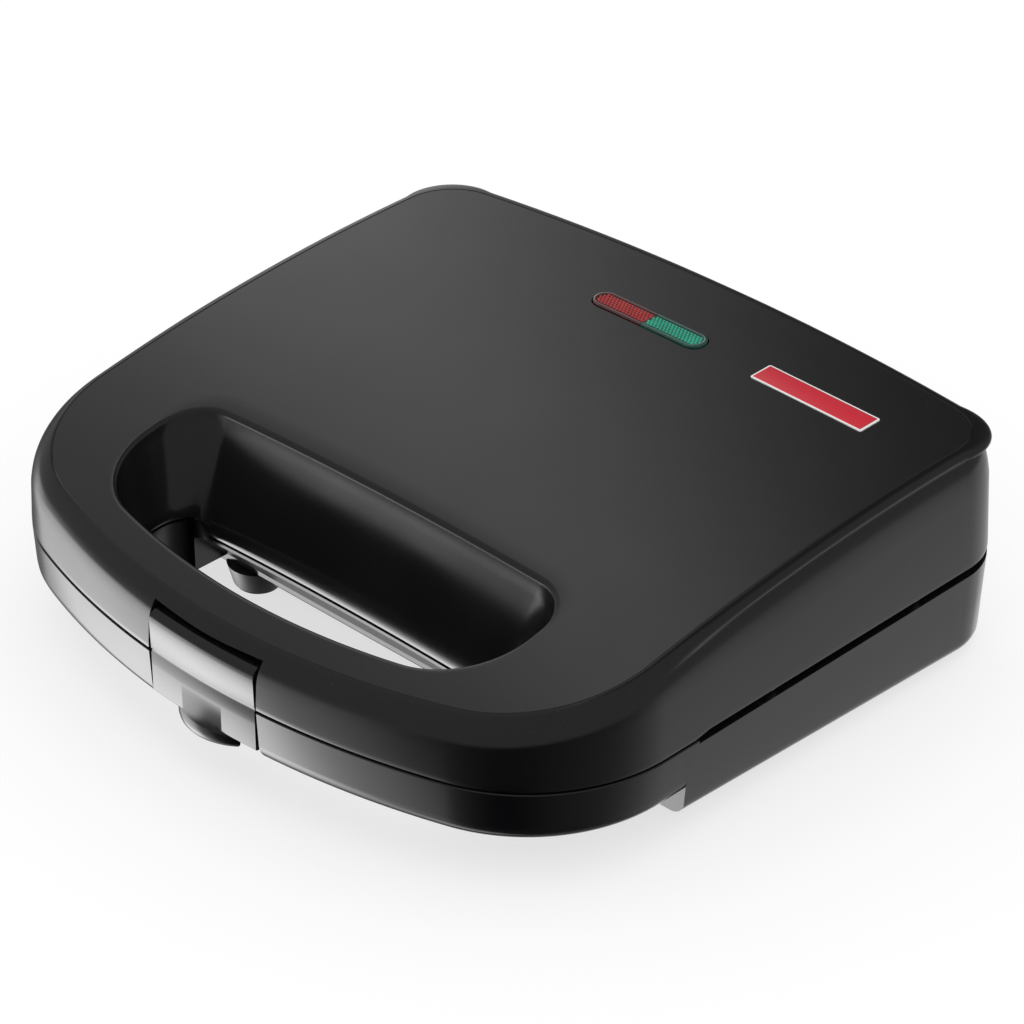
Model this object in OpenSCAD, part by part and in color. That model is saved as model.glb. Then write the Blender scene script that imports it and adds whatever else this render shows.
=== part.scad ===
// Sandwich toaster: a hinged lid and a base, each with a pocketed hot plate, held shut by a
// front latch. Z = 0 is the table, the handle is at -Y, the hinge at +Y, +X is to the right.

/* [Body outline] */
// Width over the side walls
body_w = 235; // [228:1:242]
// Depth from the handle's front to the rear wall
body_d = 220; // [214:1:226]
// Plan radius of the bowed front
front_bow_r = 259; // [240:1:300]
// Plan radius of the front corners
front_corner_r = 52; // [46:1:58]
// Plan radius of the bowed rear wall
rear_bow_r = 1030; // [900:10:2000]
// Plan radius of the rear corners
rear_corner_r = 24; // [21:1:28]
// Wall of the plastic shells
shell_wall = 2.4; // [2.2:0.1:2.6]
// Slope of the walls, mm inwards for each mm away from the seam
wall_draft = 0.05; // [0.03:0.01:0.06]

/* [Heights] */
// Seam between lid and base, above the table
seam_z = 32; // [31:0.5:34]
// Highest point of the lid above the seam
lid_h = 41; // [40:0.5:44]
// Distance of that highest point from the rear wall
lid_peak_in = 27; // [20:1:32]
// Height of the lid's top over the seam, at the middle of the handle's front
lid_front_h = 16.33; // [15.5:0.1:17.5]
// Front-view radius of the lid's top
lid_crown_r = 2500; // [1800:50:4000]
// Depth of the lower handle below the seam
lower_handle_t = 17.5; // [17:0.5:18.5]
// Height of the base's underside at the front of the hot part
under_front_z = 7.6; // [6.5:0.1:8]
// Height of the base's underside at the rear feet
under_rear_z = 2; // [1.8:0.1:2.6]

/* [Seam] */
// Gap of the closed seam at the handle
seam_gap = 0.8; // [0.6:0.1:1]
// Gap along the sides and the rear
side_gap = 2.8; // [2.6:0.1:3.2]
// Where the side gap starts, from the front
side_gap_from = 76; // [72:1:80]

/* [Finger opening] */
// Half width of the opening's rim in the lid's top
rim_half_w = 77; // [74:1:79]
// Width of the handle bar at the rim
handle_bar = 17.5; // [16.5:0.5:19]
// Depth of the rim, front to back
rim_d = 52.5; // [50:0.5:55]
// Half width of the through hole
hole_half_w = 67.5; // [65:0.5:69]
// Depth of the through hole, front to back
hole_d = 38.5; // [36:0.5:40]
// How far the lid's lip reaches below the seam behind the fingers
lip_drop = 4.2; // [3.8:0.1:4.4]
// Height of the base's upright wall behind the fingers, below the seam
recess_top = 6; // [5.5:0.5:7]

/* [Hot plates] */
// Room between each side wall's outside and the plates
plate_side_room = 11.5; // [10.5:0.5:13.5]
// Distance of the plates' front edge from the handle's front
plate_from_front = 77; // [75:1:81]
// Corner radius of the flange
plate_corner_r = 12; // [8:1:16]
// Distance of the plates' rear edge from the rear wall
plate_from_rear = 23; // [22.5:0.5:24]
// Depth of a sandwich pocket
pocket_depth = 10; // [8:0.5:10]
// Thickness of the cast plate
plate_t = 2; // [1.8:0.1:2]
// Width of the ridge that cuts a sandwich in two
ridge_w = 5; // [4:0.5:8]
// Slope of a pocket's walls, mm inwards over the whole depth
pocket_slope = 5; // [3:0.5:7]
// Diameter of the heating tubes
heater_d = 6; // [5.5:0.1:6]

/* [Hinge] */
// Height of the hinge pins above the seam
hinge_up = 20; // [19:0.5:21]
// Distance of the hinge pins from the rear wall's middle
hinge_in = 11.5; // [11:0.5:12]
// Distance of each hinge from the middle
hinge_x = 52; // [46:1:54]
// Width of a hinge tower
tower_w = 15; // [13:0.5:17]
// Half depth of a hinge tower
tower_r = 5; // [4.6:0.1:5.4]
// Radius of the hinge pins
hinge_pin_r = 2.5; // [2:0.1:3]
// Radial play of the pins in the towers
hinge_play = 0.05; // [0.02:0.01:0.08]
// Thickness of the lid's hinge cheeks
cheek_t = 3.6; // [3:0.1:4]

/* [Latch] */
// Width of the latch
latch_w = 42.6; // [38:0.2:46]
// Gap between the latch and the handle at each side
latch_gap = 0.8; // [0.6:0.1:1]
// Thickness of the latch's skin
latch_t = 2.6; // [2.4:0.1:2.8]
// Height of the latch pin above the seam
latch_pin_up = 9.6; // [9.4:0.1:9.8]
// Distance of the latch pin from the handle's front
latch_pin_in = 6.2; // [6.1:0.1:6.4]
// Radius of the latch pin
latch_pin_r = 1; // [0.8:0.05:1.1]
// Plan radius of the finger lip under the latch
lip_r = 19.4; // [17:0.2:22]
// How far the finger lip stands out of the handle's front
lip_out = 2; // [1:0.5:3]

/* [Lamps and label] */
// Length of the double lamp window
lens_l = 44; // [40:1:48]
// Width of the double lamp window
lens_w = 9; // [8:0.5:10]
// Distance of the lamp window from the rear wall
lens_from_rear = 37.5; // [34:0.5:44]
// Length of the plain label
label_l = 42; // [36:1:46]
// Width of the plain label
label_w = 9; // [8:0.5:11]
// Thickness of the label
label_t = 0.4; // [0.3:0.1:0.6]

/* [Feet] */
// Distance of the front feet from the middle
front_foot_x = 62; // [56:1:66]
// Radius of a front foot at the table
front_foot_r = 7.6; // [7:0.1:9]
// Distance of the rear feet from the middle
rear_foot_x = 88; // [80:1:92]
// Radius of a rear foot
rear_foot_r = 7.5; // [6:0.5:9]
// Thickness of the rubber under a front foot
pad_t = 1.2; // [1:0.1:1.6]

/* [Hidden] */
$fn = 48;
hull_fn = 24;
fit_gap = 0.3;
front_y = -body_d / 2;
rear_y = body_d / 2;
half_w = body_w / 2;
peak_y = rear_y - lid_peak_in;
seam_top = seam_z + seam_gap / 2;
seam_bottom = seam_z - seam_gap / 2;
side_top = seam_z + side_gap / 2;
side_bottom = seam_z - side_gap / 2;
gap_y = front_y + side_gap_from;

// --- outline of the body in plan ---------------------------------------------------------
n_front = 7;
n_corner = 9;
n_side = 6;
n_rear_corner = 7;
n_rear = 6;

// One point of an arc, with its outward normal: [x, y, nx, ny].
function arc_point(c, r, a) = [c.x + r * cos(a), c.y + r * sin(a), cos(a), sin(a)];

// Right half of a rounded outline: bowed front, corner, straight side, corner, bowed rear.
function half_outline(hw, yf, rbf, rcf, yr, rbr, rcr) =
    let (
        cf = [0, yf + rbf],
        cr = [0, yr - rbr],
        k1 = [hw - rcf, cf.y - sqrt(pow(rbf - rcf, 2) - pow(hw - rcf, 2))],
        k2 = [hw - rcr, cr.y + sqrt(pow(rbr - rcr, 2) - pow(hw - rcr, 2))],
        a1 = atan2(k1.y - cf.y, k1.x),
        a4 = atan2(k2.y - cr.y, k2.x)
    )
    concat(
        [for (k = [0:n_front - 1]) arc_point(cf, rbf, -90 + (a1 + 90) * k / n_front)],
        [for (k = [0:n_corner - 1]) arc_point(k1, rcf, a1 * (1 - k / n_corner))],
        [for (k = [0:n_side - 1]) [hw, k1.y + (k2.y - k1.y) * k / n_side, 1, 0]],
        [for (k = [0:n_rear_corner - 1]) arc_point(k2, rcr, a4 * k / n_rear_corner)],
        [for (k = [0:n_rear]) arc_point(cr, rbr, a4 + (90 - a4) * k / n_rear)]
    );

function mirrored(p) = [-p[0], p[1], -p[2], p[3]];

// The whole closed outline, anticlockwise from the middle of the front.
function outline(hw, yf, rbf, rcf, yr, rbr, rcr) =
    let (h = half_outline(hw, yf, rbf, rcf, yr, rbr, rcr), n = len(h))
    concat(h, [for (k = [n - 2:-1:1]) mirrored(h[k])]);

body_plan = outline(half_w, front_y, front_bow_r, front_corner_r, rear_y, rear_bow_r, rear_corner_r);
rim_plan = outline(rim_half_w, front_y + handle_bar, front_bow_r - handle_bar, 28,
    front_y + handle_bar + rim_d, 3000, 14);
hole_in = handle_bar + 1.9;
hole_y = front_y + hole_in + hole_d;
function hole_plan(grow) = outline(hole_half_w + grow, front_y + hole_in - grow,
    front_bow_r - hole_in + grow, 22 + grow, hole_y + grow, 1340, 10 + grow);

// A ring of 3D points: the outline moved in by "inset", each at the height z_of(x, y).
function inset_xy(p, inset) = [p[0] - inset * p[2], p[1] - inset * p[3]];
function flat(plan, inset, z) =
    [for (p = plan) let (q = inset_xy(p, inset)) [q.x, q.y, z]];
function plan_2d(plan, inset) = [for (p = plan) inset_xy(p, inset)];

// A closed solid through rings of equal length, from the lowest to the highest.
module loft(rings) {
    n = len(rings[0]);
    m = len(rings);
    polyhedron(
        points = [for (r = rings) for (p = r) p],
        faces = concat(
            [[for (k = [0:n - 1]) k]],
            [for (j = [0:m - 2]) for (k = [0:n - 1])
                [j * n + k, (j + 1) * n + k, (j + 1) * n + (k + 1) % n]],
            [for (j = [0:m - 2]) for (k = [0:n - 1])
                [j * n + k, (j + 1) * n + (k + 1) % n, j * n + (k + 1) % n]],
            [[for (k = [n - 1:-1:0]) (m - 1) * n + k]]
        )
    );
}

// --- the lid's outer form -----------------------------------------------------------------
lid_arc_r = pow(peak_y - front_y, 2) / (2 * (lid_h - lid_front_h));
function top_z(x, y) = seam_z + lid_h - pow(y - peak_y, 2) / (2 * lid_arc_r)
    - x * x / (2 * lid_crown_r);

// Edge of the top as [inset, drop below the top]: plain rounding at the handle, and at the
// sides and rear a raised roll over a fine crease.
edge_front = [[0.5, 8], [0.9, 6], [1.5, 4.5], [2.2, 3.4], [3.0, 2.4], [3.9, 1.6], [4.9, 0.9], [6, 0.3], [7, 0]];
edge_side = [[1.1, 13], [1.9, 8.5], [3.1, 5.4], [4.7, 3.3], [4.2, 2.7], [3.8, 1.9], [4.2, 0.9], [5.3, 0.25], [7, 0]];
roll_swell = [0, 0, 0, 0, 2.2, 2.8, 2.6, 1.2, 0];
roll_from = gap_y - 32;
roll_full = gap_y + 34;
function smooth(t) = let (s = min(1, max(0, t))) s * s * (3 - 2 * s);
function roll_share(y) = smooth((y - roll_from) / (roll_full - roll_from));
function corner_share(p) = p[3] > 0 ? 2 * abs(p[2]) * p[3] : 0;
function edge_ring(j, wall) = [for (p = body_plan) let (
    w = roll_share(p[1]),
    inset = edge_front[j][0] * (1 - w) + edge_side[j][0] * w - roll_swell[j] * w * corner_share(p) + wall,
    drop = edge_front[j][1] * (1 - w) + edge_side[j][1] * w + wall,
    q = inset_xy(p, inset)
) [q.x, q.y, top_z(q.x, q.y) - drop]];

// Rings across the top, drawn in towards a point of the middle.
top_shares = [0.84, 0.66, 0.48, 0.3, 0.14, 0.02];
function top_ring(share, inset, below) = [for (p = body_plan) let (
    q = inset_xy(p, inset), x = q.x * share, y = q.y * share
) [x, y, top_z(x, y) - below]];

module lid_outer() {
    loft(concat(
        [flat(body_plan, 0, seam_top)],
        [for (j = [0:8]) edge_ring(j, 0)],
        [for (s = top_shares) top_ring(s, 7, 0)]
    ));
}

cavity_in = shell_wall + 6.6;
module lid_cavity() {
    loft(concat(
        [flat(body_plan, shell_wall, seam_z - 2)],
        [flat(body_plan, shell_wall, seam_top)],
        [edge_ring(0, shell_wall)],
        [edge_ring(2, shell_wall + 1)],
        [top_ring(1, cavity_in, shell_wall + 0.8)],
        [for (s = [0.7, 0.4, 0.02]) top_ring(s, cavity_in, shell_wall)]
    ));
}

// The through hole: straight up from below, then a slope out to the rounded rim on the lid's top.
function between(share) = let (h = hole_plan(0)) [for (k = [0:len(h) - 1]) let (
    a = h[k], b = rim_plan[k]
) [a[0] + (b[0] - a[0]) * share, a[1] + (b[1] - a[1]) * share]];
function rim_ring(share, drop, up) = [for (q = between(share)) [q.x, q.y, top_z(q.x, q.y) - drop + up]];
slope_foot = seam_z - lip_drop + 2;

module hole_funnel() {
    loft(concat(
        [flat(hole_plan(0), 0, -5)],
        [flat(hole_plan(0), 0, slope_foot)],
        [rim_ring(0.9, 2.4, 0)],
        [rim_ring(1.25, 0, 6)]
    ));
}

module hole_straight(grow, z0, z1) {
    loft([flat(hole_plan(grow), 0, z0), flat(hole_plan(grow), 0, z1)]);
}

// The same hole, one wall larger all round.
module hole_sleeve() {
    h = hole_plan(0);
    function grown(ring) = [for (k = [0:len(h) - 1])
        [ring[k][0] + shell_wall * h[k][2], ring[k][1] + shell_wall * h[k][3], ring[k][2]]];
    loft([
        flat(hole_plan(shell_wall), 0, seam_z - 20),
        flat(hole_plan(shell_wall), 0, slope_foot - 1),
        grown(rim_ring(0.9, 4.6, 0)),
        grown(rim_ring(1, 1.6, 0)),
        grown(rim_ring(1, 0, 25))
    ]);
}

// --- hinge and latch places ---------------------------------------------------------------
axis_y = rear_y - hinge_in;
axis_z = seam_z + hinge_up;
notch_side_gap = 0.6;
notch_top = axis_z + tower_r + 4.5;
latch_y = front_y + latch_pin_in;
latch_z = seam_z + latch_pin_up;
latch_top = seam_z + lid_front_h - 3.13;
latch_bottom = seam_z - 13.8;
latch_sweep_r = 6;
latch_ear_r = 2.3;
function front_at(x) = front_y + front_bow_r - sqrt(pow(front_bow_r, 2) - x * x);

// A bar with round long edges, laid along X.
module round_bar(x, y, z, l, w, h, r) {
    hull() {
        for (sy = [-1, 1])
            for (sz = [-1, 1])
                translate([x - l / 2, y + sy * (w / 2 - r), z + sz * (h / 2 - r)])
                    rotate([0, 90, 0])
                        cylinder(r = r, h = l, $fn = hull_fn);
    }
}

module slot_prism(l, w, z0, z1) {
    translate([0, 0, z0])
        hull() {
            for (s = [-1, 1])
                translate([s * (l - w) / 2, 0, 0])
                    cylinder(d = w, h = z1 - z0, $fn = hull_fn);
        }
}

module tower_notches(extra, z0, z1) {
    for (s = [-1, 1])
        translate([s * hinge_x - tower_w / 2 - extra, axis_y - tower_r - extra - 1, z0])
            cube([tower_w + 2 * extra, hinge_in + tower_r + 20, z1 - z0]);
}

module latch_notch() {
    w = latch_w + 2 * latch_gap;
    translate([-w / 2, front_y - 5, latch_bottom - 9])
        cube([w, 5 + latch_pin_in + 1.2, latch_top + 0.3 - latch_bottom + 9 - 4]);
    translate([-w / 2, front_y - 5, latch_top - 5])
        cube([w, 5 + latch_pin_in, 5.3]);
    translate([-w / 2, latch_y, latch_z])
        rotate([0, 90, 0])
            cylinder(r = latch_sweep_r, h = w);
}

// --- places of screws and bosses ----------------------------------------------------------
lens_y = rear_y - lens_from_rear;
lens_top = top_z(0, lens_y);
screw_edge = 5.8;
case_screws = [for (side = [-1, 1]) each [
    [side * (half_w - screw_edge), 0],
    [side * (half_w - screw_edge), plate_from_rear + 39],
    [side * 30, rear_y - 18.5],
    [side * (half_w - 25.5), front_y + 60],
    [side * 45, front_at(45) + 9.5]
]];
frame_t = 1.8;
flange_lift = 0.6;
flange_t = 2;
upper_frame_z = seam_z + flange_lift + flange_t;
lower_frame_z = seam_z - flange_lift - flange_t - frame_t;
plate_w = body_w - 2 * plate_side_room;
plate_d = body_d - plate_from_rear - plate_from_front;
plate_y = rear_y - plate_from_rear - plate_d / 2;
screw_r = 1.5;
boss_r = 3.6;

// Straight underside of the hot part of the base.
front_foot_y = front_y + 78;
rear_foot_y = rear_y - 22;
deep_y = front_y + 71.6;
under_slope = (under_front_z - under_rear_z) / (rear_foot_y - deep_y);
function under_z(y) = under_front_z - under_slope * (y - deep_y);
handle_under_z = seam_z - lower_handle_t;

edge_boss_h = 12;
function boss_top(p) = abs(p.x) > half_w - 15 ? upper_frame_z + frame_t + edge_boss_h
    : top_z(p.x, p.y) - shell_wall + 0.6;
module lid_bosses() {
    for (p = case_screws)
        hull() {
            translate([p.x, p.y, upper_frame_z + frame_t])
                cylinder(r = boss_r, h = 1, $fn = hull_fn);
            translate([p.x, p.y, boss_top(p) - 1])
                cylinder(r = boss_r + 0.3, h = 1, $fn = hull_fn);
        }
    for (s = [-1, 1])
        translate([s * hinge_x - tower_w / 2 - 2, axis_y - 26, axis_z + 14])
            cube([tower_w + 4, 12, top_z(hinge_x, axis_y) - shell_wall + 0.6 - axis_z - 14]);
}

module upper_cover() {
    color([0.02, 0.02, 0.02])
        difference() {
            union() {
                difference() {
                    lid_outer();
                    difference() {
                        lid_cavity();
                        hole_sleeve();
                    }
                }
                intersection() {
                    lid_outer();
                    lid_bosses();
                }
                intersection() {
                    hole_straight(shell_wall, seam_z - lip_drop, seam_top + 1);
                    translate([-hole_half_w + 10, hole_y - 6, seam_z - lip_drop])
                        cube([2 * hole_half_w - 20, 12, lip_drop + 3]);
                }
            }
            hole_funnel();
            translate([-body_w, gap_y, seam_z - 1])
                cube([2 * body_w, body_d, 1 + side_gap / 2]);
            latch_notch();
            tower_notches(notch_side_gap, seam_z - 1, notch_top);
            translate([0, lens_y, 0])
                slot_prism(lens_l + 0.4, lens_w + 0.4, lens_top - 8, lens_top + 5);
            for (p = case_screws)
                translate([p.x, p.y, upper_frame_z])
                    cylinder(r = screw_r, h = 9 + frame_t, $fn = hull_fn);
        }
}

// --- frames that close the shells ---------------------------------------------------------
module rounded_rect(w, d, r) {
    offset(r = r)
        square([w - 2 * r, d - 2 * r], center = true);
}

plate_window = 6;
frame_inset = shell_wall + 0.8;

// The finger hole's outline part of the way up its slope, one wall and a fitting gap larger.
upper_slope_share = 0.36;
function hole_clear(share) = let (h = hole_plan(0), s = between(share), grow = shell_wall + fit_gap)
    [for (k = [0:len(h) - 1]) [s[k][0] + grow * h[k][2], s[k][1] + grow * h[k][3]]];

module frame_2d(inset, share) {
    difference() {
        polygon(plan_2d(body_plan, inset));
        polygon(hole_clear(share));
        translate([0, plate_y])
            rounded_rect(plate_w - plate_window, plate_d - plate_window, plate_corner_r);
        translate([-latch_w / 2 - latch_gap - 1, front_y - 1])
            square([latch_w + 2 * latch_gap + 2, latch_pin_in + latch_sweep_r + 1]);
        for (s = [-1, 1])
            translate([s * hinge_x - tower_w / 2 - notch_side_gap, axis_y - tower_r - 1.6])
                square([tower_w + 2 * notch_side_gap, hinge_in + tower_r + 5]);
        for (p = case_screws)
            translate([p.x, p.y])
                circle(r = screw_r);
    }
}

module upper_frame() {
    color([0.08, 0.08, 0.08])
        translate([0, 0, upper_frame_z])
            linear_extrude(frame_t)
                frame_2d(frame_inset, upper_slope_share);
}

module lower_frame() {
    color([0.08, 0.08, 0.08])
        difference() {
            translate([0, 0, lower_frame_z])
                linear_extrude(frame_t)
                    frame_2d(frame_inset, 0);
            finger_recess(shell_wall + fit_gap);
        }
}

// --- hot plates: two sandwiches, each cut corner to corner --------------------------------
pocket_margin = 7;
pocket_mid = 4;
pocket_w = plate_w / 2 - pocket_margin - pocket_mid;
pocket_d = plate_d - 2 * pocket_margin;
pocket_x = pocket_mid + pocket_w / 2;

// A half of a sandwich pocket: the triangle below the diagonal, moved in by "inset".
module half_pocket_2d(inset) {
    r = 3;
    offset(r = r, $fn = hull_fn)
        offset(delta = -r - inset)
            polygon([
                [-pocket_w / 2 + ridge_w * 0.7, -pocket_d / 2],
                [pocket_w / 2, -pocket_d / 2],
                [pocket_w / 2, pocket_d / 2 - ridge_w * 0.7]
            ]);
}

// Tapered solid of one triangle, from the rim down to "deep".
module half_pocket(inset, deep) {
    hull() {
        translate([0, 0, -0.01])
            linear_extrude(0.02)
                half_pocket_2d(inset);
        translate([0, 0, -deep])
            linear_extrude(0.02)
                half_pocket_2d(inset + pocket_slope);
    }
}

module every_pocket() {
    for (side = [-1, 1])
        translate([side * pocket_x, plate_y, 0])
            children();
}

module every_half_pocket(inset, deep) {
    every_pocket()
        for (turn = [0, 180])
            rotate([0, 0, turn])
                half_pocket(inset, deep);
}

// The tapered back of a pocket, one casting wall outside it.
module pocket_back() {
    grow = plate_t * 1.2;
    slope = pocket_slope * (pocket_depth + plate_t) / pocket_depth;
    hull() {
        translate([0, 0, -0.02])
            linear_extrude(0.02)
                rounded_rect(pocket_w + grow, pocket_d + grow, 4);
        translate([0, 0, -pocket_depth - plate_t])
            linear_extrude(0.02)
                rounded_rect(pocket_w + grow - 2 * slope, pocket_d + grow - 2 * slope, 4);
    }
}

heater_lift = flange_lift + pocket_depth + plate_t;
sheet_t = 0.6;
reflector_lift = heater_lift + heater_d + 0.3;
plate_boss = [for (sx = [-1, 1]) for (y = [-1, 1]) [sx * (plate_w / 2 - 12), plate_y + y * (plate_d / 2 - 11)]];

// A plate facing up, with its rim flange_lift below z = 0.
module plate_form() {
    translate([0, 0, -flange_lift])
        difference() {
            union() {
                translate([0, plate_y, -flange_t])
                    linear_extrude(flange_t)
                        rounded_rect(plate_w, plate_d, plate_corner_r);
                every_pocket()
                    pocket_back();
                for (p = plate_boss)
                    translate([p.x, p.y, flange_lift - reflector_lift])
                        cylinder(r = boss_r, h = reflector_lift - flange_lift - 1);
            }
            every_half_pocket(0, pocket_depth);
            for (p = plate_boss)
                translate([p.x, p.y, flange_lift - reflector_lift - 1])
                    cylinder(r = screw_r, h = 8, $fn = hull_fn);
        }
}

module to_lid() {
    translate([0, 0, seam_z])
        mirror([0, 0, 1])
            children();
}

module to_base() {
    translate([0, 0, seam_z])
        children();
}

module upper_plate() {
    color([0.16, 0.16, 0.17])
        to_lid()
            plate_form();
}

module lower_plate() {
    color([0.16, 0.16, 0.17])
        to_base()
            plate_form();
}

// --- heating tubes: a long U that follows the plate's back --------------------------------
heater_bend_r = 30;
heater_from = -plate_w / 2 + 26 + heater_bend_r;
heater_to = plate_w / 2 - 24;
terminal_l = 12;
heater_z = -heater_lift - heater_d / 2 - 0.05;
module heater_form() {
    for (s = [-1, 1])
        translate([heater_from, plate_y + s * heater_bend_r, heater_z])
            rotate([0, 90, 0]) {
                cylinder(d = heater_d, h = heater_to - heater_from);
                cylinder(d = heater_d / 2, h = heater_to - heater_from + terminal_l);
            }
    translate([heater_from, plate_y, heater_z])
        rotate([0, 0, 90])
            rotate_extrude(angle = 180)
                translate([heater_bend_r, 0])
                    circle(d = heater_d);
}

module upper_heater() {
    color([0.45, 0.42, 0.38])
        to_lid()
            heater_form();
}

module lower_heater() {
    color([0.45, 0.42, 0.38])
        to_base()
            heater_form();
}

// --- sheet reflectors behind the heating tubes --------------------------------------------
reflector_w = plate_w - 10;
reflector_d = plate_d - 9;
reflector_side = 5;
sensor_r = 6.5;
sensor_x = pocket_x + 15;
sensor_y = plate_y - 17;
module reflector_form() {
    translate([0, plate_y, -reflector_lift - sheet_t])
        difference() {
            linear_extrude(reflector_side)
                rounded_rect(reflector_w, reflector_d, 6);
            translate([0, 0, sheet_t])
                linear_extrude(reflector_side)
                    rounded_rect(reflector_w - 2 * sheet_t, reflector_d - 2 * sheet_t, 6 - sheet_t);
            for (p = plate_boss)
                translate([p.x, p.y - plate_y, -1])
                    cylinder(r = screw_r + 0.3, h = 3);
            translate([sensor_x, sensor_y - plate_y, -1])
                cylinder(r = sensor_r + 1, h = 3);
            translate([heater_to + 2 - fit_gap, -heater_bend_r - 6, -1])
                cube([plate_w, 2 * heater_bend_r + 12, reflector_side + 2]);
        }
}

module upper_reflector() {
    color([0.7, 0.7, 0.72])
        to_lid()
            reflector_form();
}

module lower_reflector() {
    color([0.7, 0.7, 0.72])
        to_base()
            reflector_form();
}

// --- screws -------------------------------------------------------------------------------
// A pan-head screw whose head sits at z = 0 and whose shank points up.
module screw(length, shank_r) {
    difference() {
        union() {
            translate([0, 0, -1.6])
                cylinder(r1 = shank_r * 1.3, r2 = shank_r * 1.9, h = 0.8);
            translate([0, 0, -0.8])
                cylinder(r = shank_r * 1.9, h = 0.8);
            cylinder(r = shank_r - 0.05, h = length);
        }
        for (a = [0, 90])
            rotate([0, 0, a])
                translate([-shank_r * 0.9, -0.3, -2])
                    cube([shank_r * 1.8, 0.6, 1]);
    }
}

module plate_screws_form() {
    for (p = plate_boss)
        translate([p.x, p.y, -reflector_lift - sheet_t])
            screw(6, screw_r);
}

module upper_plate_screws() {
    color([0.6, 0.6, 0.6])
        to_lid()
            plate_screws_form();
}

module lower_plate_screws() {
    color([0.6, 0.6, 0.6])
        to_base()
            plate_screws_form();
}

module upper_case_screws() {
    color([0.5, 0.5, 0.5])
        for (p = case_screws)
            translate([p.x, p.y, upper_frame_z])
                screw(8, screw_r);
}

// --- the base's shell ---------------------------------------------------------------------
handle_edge_r = 6;
deep_edge_r = 5;
function base_inset(z) = wall_draft * (seam_z - z);
function fillet_ring(plan, base_in, r, a, z_of) = [for (p = plan) let (
    q = inset_xy(p, base_in + r * (1 - cos(a)))
) [q.x, q.y, z_of(q.y) + r * (1 - sin(a))]];
mid_z = handle_under_z + handle_edge_r;

module tray_outer() {
    rings = [for (a = [90, 60, 30, 0])
        fillet_ring(body_plan, base_inset(mid_z), handle_edge_r, a, function (y) handle_under_z)];
    loft(concat(rings, [flat(body_plan, base_inset(seam_bottom), seam_bottom)]));
}

module deep_outer() {
    low_z = under_rear_z + deep_edge_r;
    rings = [for (a = [90, 60, 30, 0])
        fillet_ring(body_plan, base_inset(low_z), deep_edge_r, a, function (y) under_z(y))];
    intersection() {
        loft(concat(
            rings,
            [flat(body_plan, base_inset(mid_z), mid_z)],
            [flat(body_plan, base_inset(seam_bottom), seam_bottom)]
        ));
        translate([-body_w, deep_y, -5])
            cube([2 * body_w, body_d, seam_z + 5]);
    }
}

module tray_inner() {
    loft([
        flat(body_plan, base_inset(mid_z) + shell_wall + 3, handle_under_z + shell_wall),
        flat(body_plan, base_inset(mid_z) + shell_wall, mid_z),
        flat(body_plan, shell_wall, seam_z + 2)
    ]);
}

module deep_inner() {
    low_in = base_inset(under_rear_z) + shell_wall;
    intersection() {
        loft([
            flat(body_plan, low_in, -10),
            flat(body_plan, low_in, mid_z - 4),
            flat(body_plan, shell_wall, seam_z + 2)
        ]);
        translate([-body_w, deep_y + shell_wall, -5])
            cube([2 * body_w, body_d, seam_z + 10]);
        translate([0, 0, shell_wall])
            above_underside();
    }
}

// All the space above the sloping underside.
module above_underside() {
    translate([0, deep_y, under_front_z])
        rotate([-atan(under_slope), 0, 0])
            translate([-body_w, -body_d, 0])
                cube([2 * body_w, 3 * body_d, 60]);
}

// The hollow under the finger opening, back to the hot part's front wall.
recess_w = 2 * hole_half_w - 8;
module finger_recess(grow) {
    translate([-recess_w / 2 - grow, 0, 0])
        rotate([90, 0, 90])
            linear_extrude(recess_w + 2 * grow)
                offset(delta = grow)
                    polygon([
                        [hole_y - 14, -5], [deep_y + 4, -5], [deep_y + 1, under_front_z],
                        [hole_y + 0.7, seam_z - recess_top], [hole_y - 14, seam_z - recess_top]
                    ]);
}

bracket_z = seam_z - 22;
gland_x = 0;
gland_z = seam_z - 14;
gland_hole_r = 6;
function floor_z(p) = p.y > deep_y ? under_z(p.y) : handle_under_z;
module base_bosses() {
    for (p = case_screws)
        hull() {
            translate([p.x, p.y, floor_z(p) + 1])
                cylinder(r = boss_r + 0.3, h = 1, $fn = hull_fn);
            translate([p.x, p.y, lower_frame_z - 1])
                cylinder(r = boss_r, h = 1, $fn = hull_fn);
        }
    for (s = [-1, 1])
        translate([s * hinge_x - tower_w / 2 - 1, axis_y - tower_r - 1, 1])
            cube([tower_w + 2, 2 * tower_r + 2, bracket_z - 1]);
}

module lower_housing() {
    color([0.02, 0.02, 0.02])
        difference() {
            union() {
                difference() {
                    union() {
                        tray_outer();
                        deep_outer();
                    }
                    difference() {
                        union() {
                            tray_inner();
                            deep_inner();
                        }
                        hole_straight(shell_wall, -5, seam_z + 5);
                        finger_recess(shell_wall);
                    }
                }
                intersection() {
                    union() {
                        tray_outer();
                        deep_outer();
                    }
                    base_bosses();
                }
            }
            hole_straight(0, -5, seam_z + 5);
            finger_recess(0);
            translate([-hole_half_w + 9, hole_y - 7, seam_z - lip_drop - seam_gap])
                cube([2 * hole_half_w - 18, 14, lip_drop + 5]);
            translate([-body_w, gap_y, side_bottom])
                cube([2 * body_w, body_d, 5]);
            latch_notch();
            translate([gland_x, rear_y - 12, gland_z])
                rotate([-90, 0, 0])
                    cylinder(r = gland_hole_r, h = 20, $fn = hull_fn);
            for (p = case_screws)
                translate([p.x, p.y, lower_frame_z - 9])
                    cylinder(r = screw_r, h = seam_z, $fn = hull_fn);
        }
}

module lower_case_screws() {
    color([0.5, 0.5, 0.5])
        for (p = case_screws)
            translate([p.x, p.y, lower_frame_z + frame_t])
                mirror([0, 0, 1])
                    screw(8, screw_r);
}

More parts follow.
